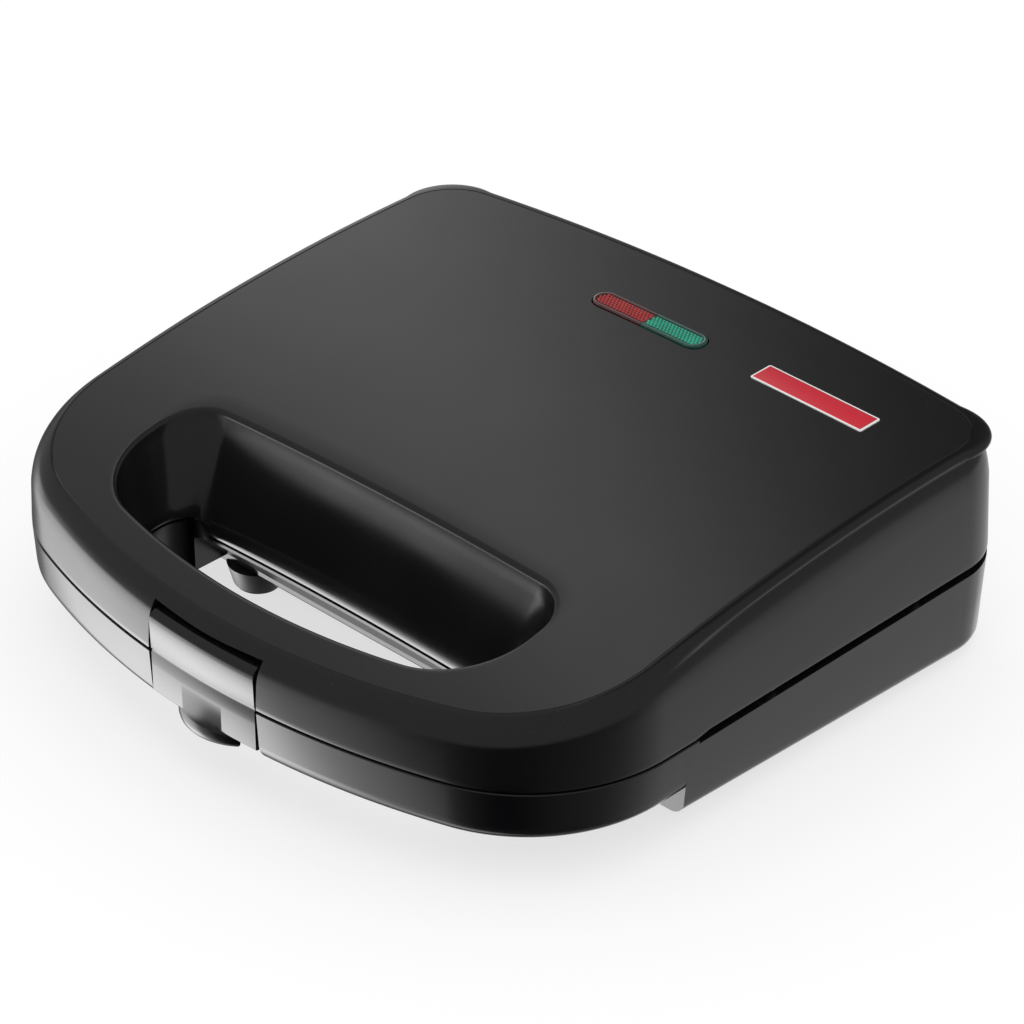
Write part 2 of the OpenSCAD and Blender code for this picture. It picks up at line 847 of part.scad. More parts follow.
// --- feet ---------------------------------------------------------------------------------
foot_flare = 2;
module front_feet() {
    color([0.03, 0.03, 0.03])
        for (s = [-1, 1])
            difference() {
                translate([s * front_foot_x, front_foot_y, pad_t])
                    cylinder(r1 = front_foot_r, r2 = front_foot_r + foot_flare, h = under_front_z);
                above_underside();
            }
}

module front_foot_pads() {
    color([0.1, 0.1, 0.1])
        for (s = [-1, 1])
            translate([s * front_foot_x, front_foot_y, 0])
                cylinder(r = front_foot_r - 0.8, h = pad_t);
}

module rear_feet() {
    color([0.1, 0.1, 0.1])
        for (s = [-1, 1])
            difference() {
                translate([s * rear_foot_x, rear_foot_y, 0])
                    cylinder(r = rear_foot_r, h = under_rear_z * 3);
                above_underside();
            }
}

// --- hinge --------------------------------------------------------------------------------
// Upright outline of a tower, seen from the side: straight, with a round head at the pin.
module tower_side_2d() {
    circle(r = tower_r);
    translate([-tower_r, bracket_z - axis_z])
        square([2 * tower_r, axis_z - bracket_z]);
}

// Puts a side-view outline, drawn as [y, z] about the pin, on the span x0 to x1.
module side_slab(x0, x1) {
    translate([x0, axis_y, axis_z])
        rotate([90, 0, 90])
            linear_extrude(x1 - x0)
                children();
}

module hinge_towers() {
    color([0.04, 0.04, 0.04])
        for (s = [-1, 1])
            difference() {
                side_slab(s * hinge_x - tower_w / 2, s * hinge_x + tower_w / 2)
                    tower_side_2d();
                translate([s * hinge_x - tower_w / 2 - 1, axis_y, axis_z])
                    rotate([0, 90, 0])
                        cylinder(r = hinge_pin_r + hinge_play, h = tower_w + 2);
            }
}

cheek_gap = 0.5;
cheek_r = 4.2;
bridge_z = axis_z + 12;
module cheek_side_2d() {
    circle(r = cheek_r);
    polygon([[-26, bridge_z - axis_z], [-26, bridge_z - axis_z + 2], [-12, bridge_z - axis_z + 2],
        [cheek_r * 0.9, cheek_r * 0.4], [0, -cheek_r], [-14, -cheek_r + 2]]);
}

module lid_hinge_arms() {
    color([0.55, 0.55, 0.57])
        for (s = [-1, 1]) {
            x_in = s * hinge_x - tower_w / 2 - cheek_gap;
            x_out = s * hinge_x + tower_w / 2 + cheek_gap;
            difference() {
                union() {
                    side_slab(x_in - cheek_t, x_in)
                        cheek_side_2d();
                    side_slab(x_out, x_out + cheek_t)
                        cheek_side_2d();
                    translate([x_in - cheek_t, axis_y - 26, bridge_z])
                        cube([x_out - x_in + 2 * cheek_t, 12, 2]);
                }
                translate([x_in - cheek_t - 1, axis_y, axis_z])
                    rotate([0, 90, 0])
                        cylinder(r = hinge_pin_r, h = x_out - x_in + 2 * cheek_t + 2);
            }
        }
}

module hinge_pins() {
    color([0.75, 0.75, 0.77])
        for (s = [-1, 1]) {
            l = tower_w + 2 * cheek_gap + 2 * cheek_t;
            translate([s * hinge_x - l / 2, axis_y, axis_z])
                rotate([0, 90, 0])
                    cylinder(r = hinge_pin_r, h = l);
        }
}

// --- latch --------------------------------------------------------------------------------
// The latch skin's section as [y from the handle's front, z from the seam], outer side first.
latch_outer = [
    [1.2, latch_bottom - seam_z], [0.7, -11], [0.4, -6], [0.1, 0], [0.3, 5],
    [0.6, 9], [1.1, 11.4], [2, latch_top - seam_z]
];
latch_inner = [
    [3.6, latch_top - seam_z - 0.3], [2.9, 8], [0.1 + latch_t, 0],
    [0.7 + latch_t, -11], [1.2 + latch_t, latch_bottom - seam_z]
];
latch_swing = 2 * asin((latch_w / 2 + 2) / front_bow_r);
module latch_skin() {
    intersection() {
        translate([0, front_y + front_bow_r, seam_z])
            rotate([0, 0, -90 - latch_swing / 2])
                rotate_extrude(angle = latch_swing)
                    polygon([for (p = concat(latch_outer, latch_inner)) [front_bow_r - p[0], p[1]]]);
        translate([-latch_w / 2, front_y - 5, latch_bottom - 1])
            cube([latch_w, 15, latch_top - latch_bottom + 2]);
    }
}

latch_ear_x = 13.5;
latch_ear_t = 3;
module latch() {
    color([0.03, 0.03, 0.03]) {
        difference() {
            union() {
                latch_skin();
                for (s = [-1, 1])
                    translate([s * latch_ear_x - latch_ear_t / 2, latch_y, latch_z])
                        rotate([90, 0, 90])
                            linear_extrude(latch_ear_t) {
                                circle(r = latch_ear_r);
                                translate([-latch_pin_in + latch_t, -latch_ear_r])
                                    square([latch_pin_in - latch_t, 2 * latch_ear_r]);
                            }
                translate([-9, front_y + latch_t + 0.4, latch_bottom + 1.5])
                    cube([18, 3.8, 1.8]);
                difference() {
                    union() {
                        translate([0, front_y - lip_out + lip_r, latch_bottom - 4.4])
                            cylinder(r = lip_r, h = 4.6);
                        translate([0, front_y - lip_out + lip_r, latch_bottom + 0.2])
                            cylinder(r1 = lip_r, r2 = lip_r - 3, h = 5);
                    }
                    translate([-20, front_y + 3, latch_bottom - 6])
                        cube([40, 40, 20]);
                }
            }
            translate([-latch_w / 2, latch_y, latch_z])
                rotate([0, 90, 0])
                    cylinder(r = latch_pin_r + 0.05, h = latch_w);
        }
    }
}

bracket_x = latch_ear_x + latch_ear_t / 2 + 0.4;
bracket_ear_r = 2.1;
module latch_bracket() {
    color([0.1, 0.1, 0.1])
        difference() {
            for (s = [-1, 1])
                translate([s > 0 ? bracket_x : -bracket_x - 3, latch_y, latch_z])
                    rotate([90, 0, 90])
                        linear_extrude(3)
                            union() {
                                circle(r = bracket_ear_r);
                                polygon([[0, bracket_ear_r], [0, -bracket_ear_r],
                                    [6.3, upper_frame_z + frame_t - latch_z],
                                    [10.4, upper_frame_z + frame_t - latch_z], [8.4, 1.6]]);
                            }
            translate([-30, latch_y, latch_z])
                rotate([0, 90, 0])
                    cylinder(r = latch_pin_r, h = 60);
        }
}

module latch_pin() {
    color([0.75, 0.75, 0.77])
        translate([-bracket_x - 3, latch_y, latch_z])
            rotate([0, 90, 0])
                cylinder(r = latch_pin_r, h = 2 * bracket_x + 6);
}

// --- lamps, label and electrical parts ----------------------------------------------------
// A flat bar with round ends, centred on X = 0 and Y = 0.
module stadium(l, w, z0, z1) {
    translate([-(l - w) / 2, -w / 2, z0])
        cube([l - w, w, z1 - z0]);
    for (s = [-1, 1])
        translate([s * (l - w) / 2, 0, z0])
            cylinder(d = w, h = z1 - z0);
}

lens_skirt = 5.5;
lens_stand = 0.6;
module lens_half(side) {
    intersection() {
        translate([0, lens_y, lens_top])
            stadium(lens_l, lens_w, -lens_skirt, lens_stand);
        translate([side > 0 ? 0.05 : -lens_l, lens_y - lens_w, lens_top - lens_skirt - 1])
            cube([lens_l - 0.05, 2 * lens_w, lens_skirt + 3]);
    }
}

module lens_red() {
    color([0.85, 0.05, 0.04])
        lens_half(-1);
}

module lens_green() {
    color([0.05, 0.7, 0.15])
        lens_half(1);
}

holder_h = 13;
holder_wall = 2;
lamp_r = 2.3;
holder_top = -shell_wall - 0.3;
module lamp_holder() {
    color([0.9, 0.9, 0.88])
        translate([0, lens_y, lens_top])
            difference() {
                stadium(lens_l + 2 * holder_wall + 1, lens_w + 2 * holder_wall + 1, holder_top - holder_h, holder_top);
                stadium(lens_l + 0.6, lens_w + 0.6, -lens_skirt - 0.05, 1);
                stadium(lens_l - 4, lens_w - 3, holder_top - holder_h + 1.6, 1);
            }
}

module neon_lamps() {
    color([1, 0.6, 0.35])
        for (s = [-1, 1])
            translate([s * lens_l / 4 - 6, lens_y, lens_top + holder_top - holder_h + 1.6 + lamp_r + 0.05])
                rotate([0, 90, 0])
                    cylinder(r = lamp_r, h = 12);
}

label_x = half_w - 53.2;
label_y = rear_y - 37;
label_steps = 8;
module label_plate() {
    color([0.7, 0.04, 0.04])
        loft([for (k = [0:label_steps]) let (x = label_x - label_l / 2 + label_l * k / label_steps) [
            for (c = [[-1, 0], [1, 0], [1, 1], [-1, 1]])
                let (y = label_y + c[0] * label_w / 2)
                    [x, y, top_z(x, y) + 0.05 + c[1] * label_t]
        ]]);
}

module thermostat() {
    color([0.85, 0.85, 0.8])
        translate([sensor_x, sensor_y, seam_z + heater_lift + 0.05]) {
            cylinder(r = sensor_r, h = 9);
            for (s = [-1, 1])
                translate([s * 3.5 - 0.4, -2.5, 8])
                    cube([0.8, 5, 5]);
        }
}

module thermal_fuse() {
    color([0.8, 0.8, 0.82])
        translate([sensor_x, sensor_y, seam_z - heater_lift - 0.05]) {
            translate([-5, 0, -2.2])
                rotate([0, 90, 0])
                    cylinder(r = 2.1, h = 10);
            difference() {
                translate([-1.5, -5.5, -5])
                    cube([3, 11, 5]);
                translate([-2, -2.4, -4.4])
                    cube([4, 4.8, 5]);
            }
        }
}

block_l = 24;
block_w = 10;
block_h = 11;
block_y = rear_y - 24;
block_z = under_z(block_y) + shell_wall + 0.1;
module terminal_block() {
    color([0.92, 0.92, 0.88])
        difference() {
            translate([-block_l / 2, block_y, block_z])
                cube([block_l, block_w, block_h]);
            for (k = [-1:1])
                translate([k * 7.5, block_y + block_w / 2, block_z + 3]) {
                    cylinder(r = 1.6, h = block_h);
                    rotate([90, 0, 0])
                        translate([0, 2, -block_w])
                            cylinder(r = 1.4, h = 2 * block_w);
                }
        }
}

// A wire: a tube of eight sides along hand-chosen points that never run upright.
function unit(v) = v / norm(v);
function wire_ring(c, dir, r) = let (n = unit(cross(dir, [0, 0, 1])), b = cross(n, dir))
    [for (k = [0:7]) c + r * (cos(45 * k) * n + sin(45 * k) * b)];
function wire_dir(p, k) = unit(p[min(k + 1, len(p) - 1)] - p[max(k - 1, 0)]);
module wire(p, r) {
    loft([for (k = [0:len(p) - 1]) wire_ring(p[k], wire_dir(p, k), r)]);
}

wire_r = 1.1;
terminal_x = heater_to + terminal_l + 0.3;
holder_bottom = lens_top + holder_top - holder_h;
module upper_wiring() {
    z = seam_z + heater_lift;
    color([0.85, 0.85, 0.82]) {
        wire([
            [terminal_x + wire_r, plate_y + 30, z + 3], [terminal_x + 1, plate_y + 22, z + 6],
            [terminal_x - 5, plate_y + 8, z + 12], [sensor_x + 14, sensor_y + 3, z + 14.5],
            [sensor_x + 5, sensor_y, z + 14.5], [sensor_x, sensor_y, z + 14.4]
        ], wire_r);
        wire([
            [terminal_x + wire_r, plate_y - 30, z + 3], [terminal_x + 1, plate_y - 20, z + 6],
            [terminal_x - 8, plate_y + 4, z + 11], [60, lens_y - 20, z + 13],
            [30, lens_y - 8, z + 10.5], [6, lens_y - 2, holder_bottom - wire_r - 0.2]
        ], wire_r);
    }
}

module lower_wiring() {
    z = seam_z - heater_lift;
    color([0.85, 0.85, 0.82]) {
        wire([
            [terminal_x + wire_r, plate_y + 30, z - 3],
            [terminal_x + 4.2, plate_y + 33, z + 0.3], [plate_w / 2 - 2.4, plate_y + 38, z + 0.3],
            [plate_w / 2 - 2.4, rear_y - 31, z - 5],
            [plate_w / 2 - 9, rear_y - 24.4, z - 6], [80, rear_y - 24, z - 6], [50, rear_y - 24.4, z - 8], [34, rear_y - 24.5, z - 9],
            [21, rear_y - 23.4, z - 9], [block_l / 2 + 0.3, rear_y - 19, z - 9]
        ], wire_r);
        wire([
            [-block_l / 2 - 0.3, rear_y - 19, z - 9], [-21, rear_y - 23.4, z - 9],
            [-34, rear_y - 24.5, z - 9], [-60, rear_y - 24.2, z - 8]
        ], wire_r);
    }
}

gland_out = 2;
gland_flange = 3;
gland_seat = 0.55;
cord_r = 3.6;
module cord_gland() {
    wall_y = rear_y - base_inset(gland_z);
    color([0.05, 0.05, 0.05])
        translate([gland_x, wall_y, gland_z])
            rotate([-90, 0, 0])
                difference() {
                    union() {
                        translate([0, 0, -8])
                            cylinder(r = gland_hole_r - 0.15, h = 8 + gland_out);
                        translate([0, 0, gland_seat])
                            cylinder(r = gland_hole_r + gland_flange,
                                h = rear_y + gland_out - wall_y - gland_seat);
                        translate([0, 0, -shell_wall - 4.1])
                            cylinder(r = gland_hole_r + gland_flange, h = 3, $fn = 6);
                    }
                    translate([0, 0, -9])
                        cylinder(r = cord_r, h = 9 + gland_out + 5);
                }
}

// The catch behind the latch: an upright plate under the frame, with a short lip.
catch_from = 9.6;
catch_t = 1.6;
catch_lip_z = -10.2;
catch_lip_from = 7.2;
module latch_catch() {
    floor_z = handle_under_z + shell_wall;
    color([0.04, 0.04, 0.04]) {
        translate([-latch_w / 2, front_y + catch_from, floor_z])
            cube([latch_w, catch_t, lower_frame_z - floor_z]);
        translate([-latch_w / 2, front_y + catch_from, lower_frame_z - catch_t])
            cube([latch_w, 5, catch_t]);
        translate([-8, front_y + catch_lip_from, seam_z + catch_lip_z])
            cube([16, catch_from + catch_t - catch_lip_from, 1.6]);
    }
}

upper_cover();
upper_frame();
upper_plate();
upper_heater();
upper_reflector();
upper_plate_screws();
upper_case_screws();
lens_red();
lens_green();
lamp_holder();
neon_lamps();
label_plate();
thermostat();
upper_wiring();
lid_hinge_arms();
latch();
latch_bracket();
latch_pin();
lower_housing();
lower_frame();
lower_plate();
lower_heater();
lower_reflector();
lower_plate_screws();
lower_case_screws();
thermal_fuse();
terminal_block();
lower_wiring();
front_feet();
front_foot_pads();
rear_feet();
hinge_towers();
hinge_pins();
latch_catch();
cord_gland();
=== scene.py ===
# %% [markdown]
# A closed sandwich toaster: a domed black lid, hinged at the back, over a base on four feet, with
# a finger opening behind a latched handle. The engineering model is loaded first and stays the
# reference: every new skin sits exactly where its solid is, and rides on the same body.

# %% Load the frame
import math

import bmesh
import bpy
import numpy as np
from mathutils import Matrix, Vector


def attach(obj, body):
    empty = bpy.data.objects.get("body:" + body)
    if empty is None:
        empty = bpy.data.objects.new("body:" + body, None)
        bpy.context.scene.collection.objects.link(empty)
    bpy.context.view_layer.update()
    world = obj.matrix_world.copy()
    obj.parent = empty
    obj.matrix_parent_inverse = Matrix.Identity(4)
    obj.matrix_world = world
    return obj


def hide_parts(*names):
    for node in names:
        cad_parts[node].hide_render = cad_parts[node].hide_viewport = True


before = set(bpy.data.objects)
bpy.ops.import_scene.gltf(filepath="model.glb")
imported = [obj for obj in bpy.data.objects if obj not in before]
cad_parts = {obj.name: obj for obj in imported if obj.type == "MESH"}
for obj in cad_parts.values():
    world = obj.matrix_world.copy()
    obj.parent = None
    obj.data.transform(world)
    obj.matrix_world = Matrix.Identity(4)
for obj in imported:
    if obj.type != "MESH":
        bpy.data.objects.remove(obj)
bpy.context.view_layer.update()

MM = 0.001

# %% [markdown]
# The camera stands to the front right of the handle, well above the table, with a long lens, so
# that the lid's sides hardly converge. Its place was found by fitting the toaster's own outline
# to the picture: azimuth and elevation give the direction, the lens and the distance the size.

# %% Camera
CAMERA_AZIMUTH = 44.31
CAMERA_ELEVATION = 32.07
CAMERA_DISTANCE = 1.1788
CAMERA_TARGET = Vector((0.00025, 0.0134, 0.032))
CAMERA_LENS = 140.6

az = math.radians(CAMERA_AZIMUTH)
el = math.radians(CAMERA_ELEVATION)
away = Vector((math.sin(az) * math.cos(el), -math.cos(az) * math.cos(el), math.sin(el)))
bpy.ops.object.camera_add(location=CAMERA_TARGET + CAMERA_DISTANCE * away,
                          rotation=(math.pi / 2 - el, 0, az))
camera = bpy.context.object
camera.data.lens = CAMERA_LENS
camera.data.sensor_width = 36
camera.data.clip_end = 20
bpy.context.scene.camera = camera
print("camera at", [round(c, 4) for c in camera.location])

# %% [markdown]
# The sizes of the shells, in millimetres, as a maker would write them on the drawing. The lid's
# top is part of a large barrel: one radius from front to back, a much larger one from side to
# side.

# %% Sizes of the shells
BODY_W = 235
BODY_D = 220
FRONT_Y = -BODY_D / 2
REAR_Y = BODY_D / 2
FRONT_BOW_R = 259
FRONT_CORNER_R = 52
REAR_BOW_R = 1030
REAR_CORNER_R = 24
WALL = 2.4
DRAFT = 0.05
SEAM_Z = 32
LID_H = 41
PEAK_Y = REAR_Y - 27
LID_ARC_R = 755
LID_CROWN_R = 2500
SEAM_GAP = 0.8
SIDE_GAP = 2.8
GAP_FROM_Y = FRONT_Y + 76
RIM_HALF_W = 77
HANDLE_BAR = 17.5
RIM_D = 52.5
HOLE_HALF_W = 67.5
HOLE_IN = HANDLE_BAR + 1.9
HOLE_BACK_Y = FRONT_Y + HOLE_IN + 38.5
LIP_DROP = 4.2
AXIS_Y = REAR_Y - 11.5
AXIS_Z = SEAM_Z + 20
FAR = 150
HIGH_UP = 60
LOW_DOWN = -5


def top_z(x, y):
    """Height of the lid's top over a point of the plan."""
    return SEAM_Z + LID_H - (y - PEAK_Y) ** 2 / (2 * LID_ARC_R) - x * x / (2 * LID_CROWN_R)


def smooth(t):
    t = np.clip(t, 0, 1)
    return t * t * (3 - 2 * t)


print("front edge of the top panel:", round(top_z(0, FRONT_Y + 7), 2), "mm, peak:", SEAM_Z + LID_H, "mm")

# %% [markdown]
# Both shells follow one plan outline: a bowed front, large front corners, straight sides, small
# rear corners and a faintly bowed rear. It is drawn as arcs, each point with its outward
# direction, so that any parallel outline is only a step along those directions.

# %% Plan outlines
COUNTS = (26, 34, 22, 22, 20)


def arc(centre, radius, a0, a1, n):
    a = np.radians(np.linspace(a0, a1, n, endpoint=False))
    direction = np.stack([np.cos(a), np.sin(a)], 1)
    return np.hstack([np.array(centre) + radius * direction, direction])


def outline(half_w, front, bow_r, corner_r, rear, rear_bow_r, rear_corner_r):
    """Closed outline, anticlockwise from the middle of the front: rows of x, y, nx, ny."""
    cf = np.array([0, front + bow_r])
    cr = np.array([0, rear - rear_bow_r])
    k1 = np.array([half_w - corner_r,
                   cf[1] - math.sqrt((bow_r - corner_r) ** 2 - (half_w - corner_r) ** 2)])
    k2 = np.array([half_w - rear_corner_r,
                   cr[1] + math.sqrt((rear_bow_r - rear_corner_r) ** 2 - (half_w - rear_corner_r) ** 2)])
    a1 = math.degrees(math.atan2(k1[1] - cf[1], k1[0]))
    a4 = math.degrees(math.atan2(k2[1] - cr[1], k2[0]))
    y = np.linspace(k1[1], k2[1], COUNTS[2], endpoint=False)
    side = np.stack([np.full_like(y, half_w), y, np.ones_like(y), np.zeros_like(y)], 1)
    right = np.vstack([
        arc(cf, bow_r, -90, a1, COUNTS[0]),
        arc(k1, corner_r, a1, 0, COUNTS[1]),
        side,
        arc(k2, rear_corner_r, 0, a4, COUNTS[3]),
        arc(cr, rear_bow_r, a4, 90, COUNTS[4]),
        [[0, rear, 0, 1]],
    ])
    left = right[-2:0:-1] * np.array([-1, 1, -1, 1])
    return np.vstack([right, left])


BODY = outline(BODY_W / 2, FRONT_Y, FRONT_BOW_R, FRONT_CORNER_R, REAR_Y, REAR_BOW_R, REAR_CORNER_R)
RIM = outline(RIM_HALF_W, FRONT_Y + HANDLE_BAR, FRONT_BOW_R - HANDLE_BAR, 28,
              FRONT_Y + HANDLE_BAR + RIM_D, 3000, 14)
HOLE = outline(HOLE_HALF_W, FRONT_Y + HOLE_IN, FRONT_BOW_R - HOLE_IN, 22, HOLE_BACK_Y, 1340, 10)
print("points round each outline:", len(BODY))


def inset(plan, d):
    """The plan's points moved inwards by d, which may differ from point to point."""
    return plan[:, :2] - np.reshape(d, (-1, 1)) * plan[:, 2:]


def ring(xy, z):
    return np.column_stack([xy, np.broadcast_to(z, len(xy))])


# %% [markdown]
# A moulded shell is lofted the way it would be by hand: a circle of vertices is laid on the first
# outline, its edge is extruded again and again, and each new loop is put on the next outline.
# Bridging the last loop to the first closes a shell with an opening through it, and filling both
# ends closes a plain solid.

# %% Loft helper
def fresh():
    if bpy.context.object and bpy.context.object.mode != "OBJECT":
        bpy.ops.object.mode_set(mode="OBJECT")
    bpy.ops.object.select_all(action="DESELECT")


def pick(*pieces):
    """Selects just these pieces and makes the first one active."""
    fresh()
    for piece in pieces:
        piece.select_set(True)
    bpy.context.view_layer.objects.active = pieces[0]


def key(co):
    return tuple(int(round(c * 1e7)) for c in co)


def select_points(piece, points):
    """Selects these vertices, and the edges between them, in edit mode."""
    bpy.ops.mesh.select_all(action="DESELECT")
    mesh = bmesh.from_edit_mesh(piece.data)
    mesh.verts.ensure_lookup_table()
    for i in points:
        mesh.verts[i].select = True
    mesh.select_flush_mode()
    bmesh.update_edit_mesh(piece.data)


def loft(name, rings, closed_ring=False):
    """A skin through equal rings of points in millimetres, in order."""
    fresh()
    rings = [np.asarray(r, float) * MM for r in rings]
    n = len(rings[0])
    bpy.ops.mesh.primitive_circle_add(vertices=n, radius=0.1, fill_type="NOTHING")
    piece = bpy.context.object
    piece.name = name
    piece.data.name = name
    piece.data.vertices.foreach_set("co", rings[0].ravel())
    piece.data.update()
    bpy.ops.object.mode_set(mode="EDIT")
    bpy.ops.mesh.select_mode(type="VERT")
    bpy.ops.mesh.select_all(action="SELECT")
    start = n
    order = list(range(n))
    for r in rings[1:]:
        bpy.ops.mesh.extrude_region_move()
        mesh = bmesh.from_edit_mesh(piece.data)
        mesh.verts.ensure_lookup_table()
        place = {key(mesh.verts[i].co): k for k, i in enumerate(order)}
        new = sorted((place[key(v.co)], v.index) for v in mesh.verts[start:])
        order = [i for _, i in new]
        for k, i in enumerate(order):
            mesh.verts[i].co = r[k]
        start += n
        bmesh.update_edit_mesh(piece.data)
    first = list(range(n))
    if closed_ring:
        select_points(piece, first + order)
        bpy.ops.mesh.select_mode(type="EDGE")
        bpy.ops.mesh.bridge_edge_loops()
    else:
        for end in (first, order):
            select_points(piece, end)
            bpy.ops.mesh.edge_face_add()
    bpy.ops.mesh.select_mode(type="VERT")
    bpy.ops.mesh.select_all(action="SELECT")
    bpy.ops.mesh.remove_doubles(threshold=1e-6)
    bpy.ops.mesh.normals_make_consistent(inside=False)
    bpy.ops.object.mode_set(mode="OBJECT")
    return piece


def combine(piece, other, operation):
    """Adds, cuts or intersects another closed piece, which is then removed."""
    pick(piece)
    step = piece.modifiers.new("step", "BOOLEAN")
    step.operation = operation
    step.object = other
    step.solver = "MANIFOLD"
    bpy.ops.object.modifier_apply(modifier=step.name)
    bpy.data.objects.remove(other)
    return piece


def cut(piece, other):
    return combine(piece, other, "DIFFERENCE")


def block(low, high):
    """A plain box between two corners in millimetres, used only to cut with."""
    fresh()
    low = np.array(low, float)
    high = np.array(high, float)
    bpy.ops.mesh.primitive_cube_add(size=1, location=(low + high) / 2 * MM, scale=(high - low) * MM)
    bpy.ops.object.transform_apply(location=True, rotation=True, scale=True)
    return bpy.context.object


def rod(radius, start, end, turn=(0, 0, 0), sides=64):
    """A round cutter from one point to another along the axis that the turn gives."""
    fresh()
    start = np.array(start, float)
    end = np.array(end, float)
    bpy.ops.mesh.primitive_cylinder_add(vertices=sides, radius=radius * MM,
                                        depth=float(np.linalg.norm(end - start)) * MM,
                                        location=(start + end) / 2 * MM, rotation=turn)
    bpy.ops.object.transform_apply(location=True, rotation=True, scale=True)
    return bpy.context.object


def turned(name, x, y, profile, sides=64):
    """A round piece from (radius, z) steps about an upright axis."""
    a = np.radians(np.linspace(0, 360, sides, endpoint=False))
    circle = np.stack([np.cos(a), np.sin(a)], 1)
    return loft(name, [ring(np.array([x, y]) + r * circle, z) for r, z in profile])


def prism(points, x0, x1):
    """A side-view outline of (y, z) points, drawn out across the toaster."""
    pts = np.array(points, float)
    return loft("prism", [np.column_stack([np.full(len(pts), x), pts]) for x in (x0, x1)])


def settle(piece, body, solid, angle=32):
    """Smooths a finished skin, hangs it on its body and lets it stand for its solid."""
    pick(piece)
    bpy.ops.object.mode_set(mode="EDIT")
    bpy.ops.mesh.select_all(action="SELECT")
    bpy.ops.mesh.remove_doubles(threshold=2e-6)
    bpy.ops.object.mode_set(mode="OBJECT")
    bpy.ops.object.shade_smooth_by_angle(angle=math.radians(angle))
    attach(piece, body)
    if solid:
        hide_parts(solid)
    print(piece.name, "faces:", len(piece.data.polygons))
    return piece


# %% [markdown]
# The lid's edge is the toaster's signature. At the handle the top simply rolls over into the
# wall. Along the sides and the rear a slim raised roll runs outside the top panel, over a fine
# crease, and it swells out at the rear corners. Both edges are short lists of steps (inset from
# the wall, drop below the top); a smooth share blends one into the other on the way back, and a
# spline rounds the steps.

# %% Lid edge profiles
EDGE_FRONT = np.array([(0.5, 8), (0.9, 6), (1.5, 4.5), (2.2, 3.4), (3.0, 2.4), (3.9, 1.6), (4.9, 0.9),
                       (6, 0.3), (7, 0)])
EDGE_SIDE = np.array([(1.1, 13), (1.9, 8.5), (3.1, 5.4), (4.7, 3.3), (4.2, 2.7), (3.8, 1.9),
                      (4.2, 0.9), (5.3, 0.25), (7, 0)])
ROLL_SWELL = np.array([0, 0, 0, 0, 2.2, 2.8, 2.6, 1.2, 0])
ROLL_FROM_Y = GAP_FROM_Y - 32
ROLL_FULL_Y = GAP_FROM_Y + 34
PANEL_LINE = [(6.75, 0.03), (6.95, 0.26), (7.15, 0.26), (7.35, 0.0)]


def spline(points, per_step):
    """Points along a smooth curve through the given ones."""
    padded = np.vstack([2 * points[0] - points[1], points, 2 * points[-1] - points[-2]])
    out = []
    for i in range(1, len(padded) - 2):
        p0, p1, p2, p3 = padded[i - 1:i + 3]
        for t in np.arange(per_step) / per_step:
            out.append(0.5 * (2 * p1 + (p2 - p0) * t + (2 * p0 - 5 * p1 + 4 * p2 - p3) * t ** 2
                              + (3 * p1 - p0 - 3 * p2 + p3) * t ** 3))
    return np.array(out + [padded[-2]])


front_curve = spline(EDGE_FRONT, 4)
side_curve = spline(EDGE_SIDE, 4)
swell_curve = spline(np.column_stack([ROLL_SWELL, ROLL_SWELL]), 4)[:, 0]
roll_share = smooth((BODY[:, 1] - ROLL_FROM_Y) / (ROLL_FULL_Y - ROLL_FROM_Y))
corner_share = np.where(BODY[:, 3] > 0, 2 * np.abs(BODY[:, 2]) * BODY[:, 3], 0)


def edge_ring(front, side, swell=0.0, deeper=0.0):
    d = front[0] * (1 - roll_share) + side[0] * roll_share - swell * roll_share * corner_share
    xy = inset(BODY, d + deeper)
    drop = front[1] * (1 - roll_share) + side[1] * roll_share + deeper
    return ring(xy, top_z(xy[:, 0], xy[:, 1]) - drop)


def lid_bottom(xy):
    return SEAM_Z + SEAM_GAP / 2 + (SIDE_GAP - SEAM_GAP) / 2 * smooth((xy[:, 1] - GAP_FROM_Y) / 2.5)


print("steps over the edge:", len(front_curve), "raised roll from y", ROLL_FROM_Y)

# %% [markdown]
# The lid's skin runs in one go: up the wall, over the edge, across the top panel, over the rim
# of the finger opening, down its sloping back, round the lip under it, and back inside to the
# start. A shell like this has real thickness, so it still looks right when the lid is open.

# %% Lid skin
def between(a, b, share):
    return a + (b - a) * share


def over_top(xy, below=0.0):
    return ring(xy, top_z(xy[:, 0], xy[:, 1]) - below)


lip_share = np.where(HOLE[:, 1] > HOLE_BACK_Y - 6, smooth((63 - np.abs(HOLE[:, 0])) / 5), 0)
lip_z = SEAM_Z + SEAM_GAP / 2 - (LIP_DROP + SEAM_GAP / 2) * lip_share
foot_z = SEAM_Z - LIP_DROP + 2 + (SEAM_GAP / 2 + LIP_DROP + 1 - 2) * (1 - lip_share)
RIM_ROUND = 1.7

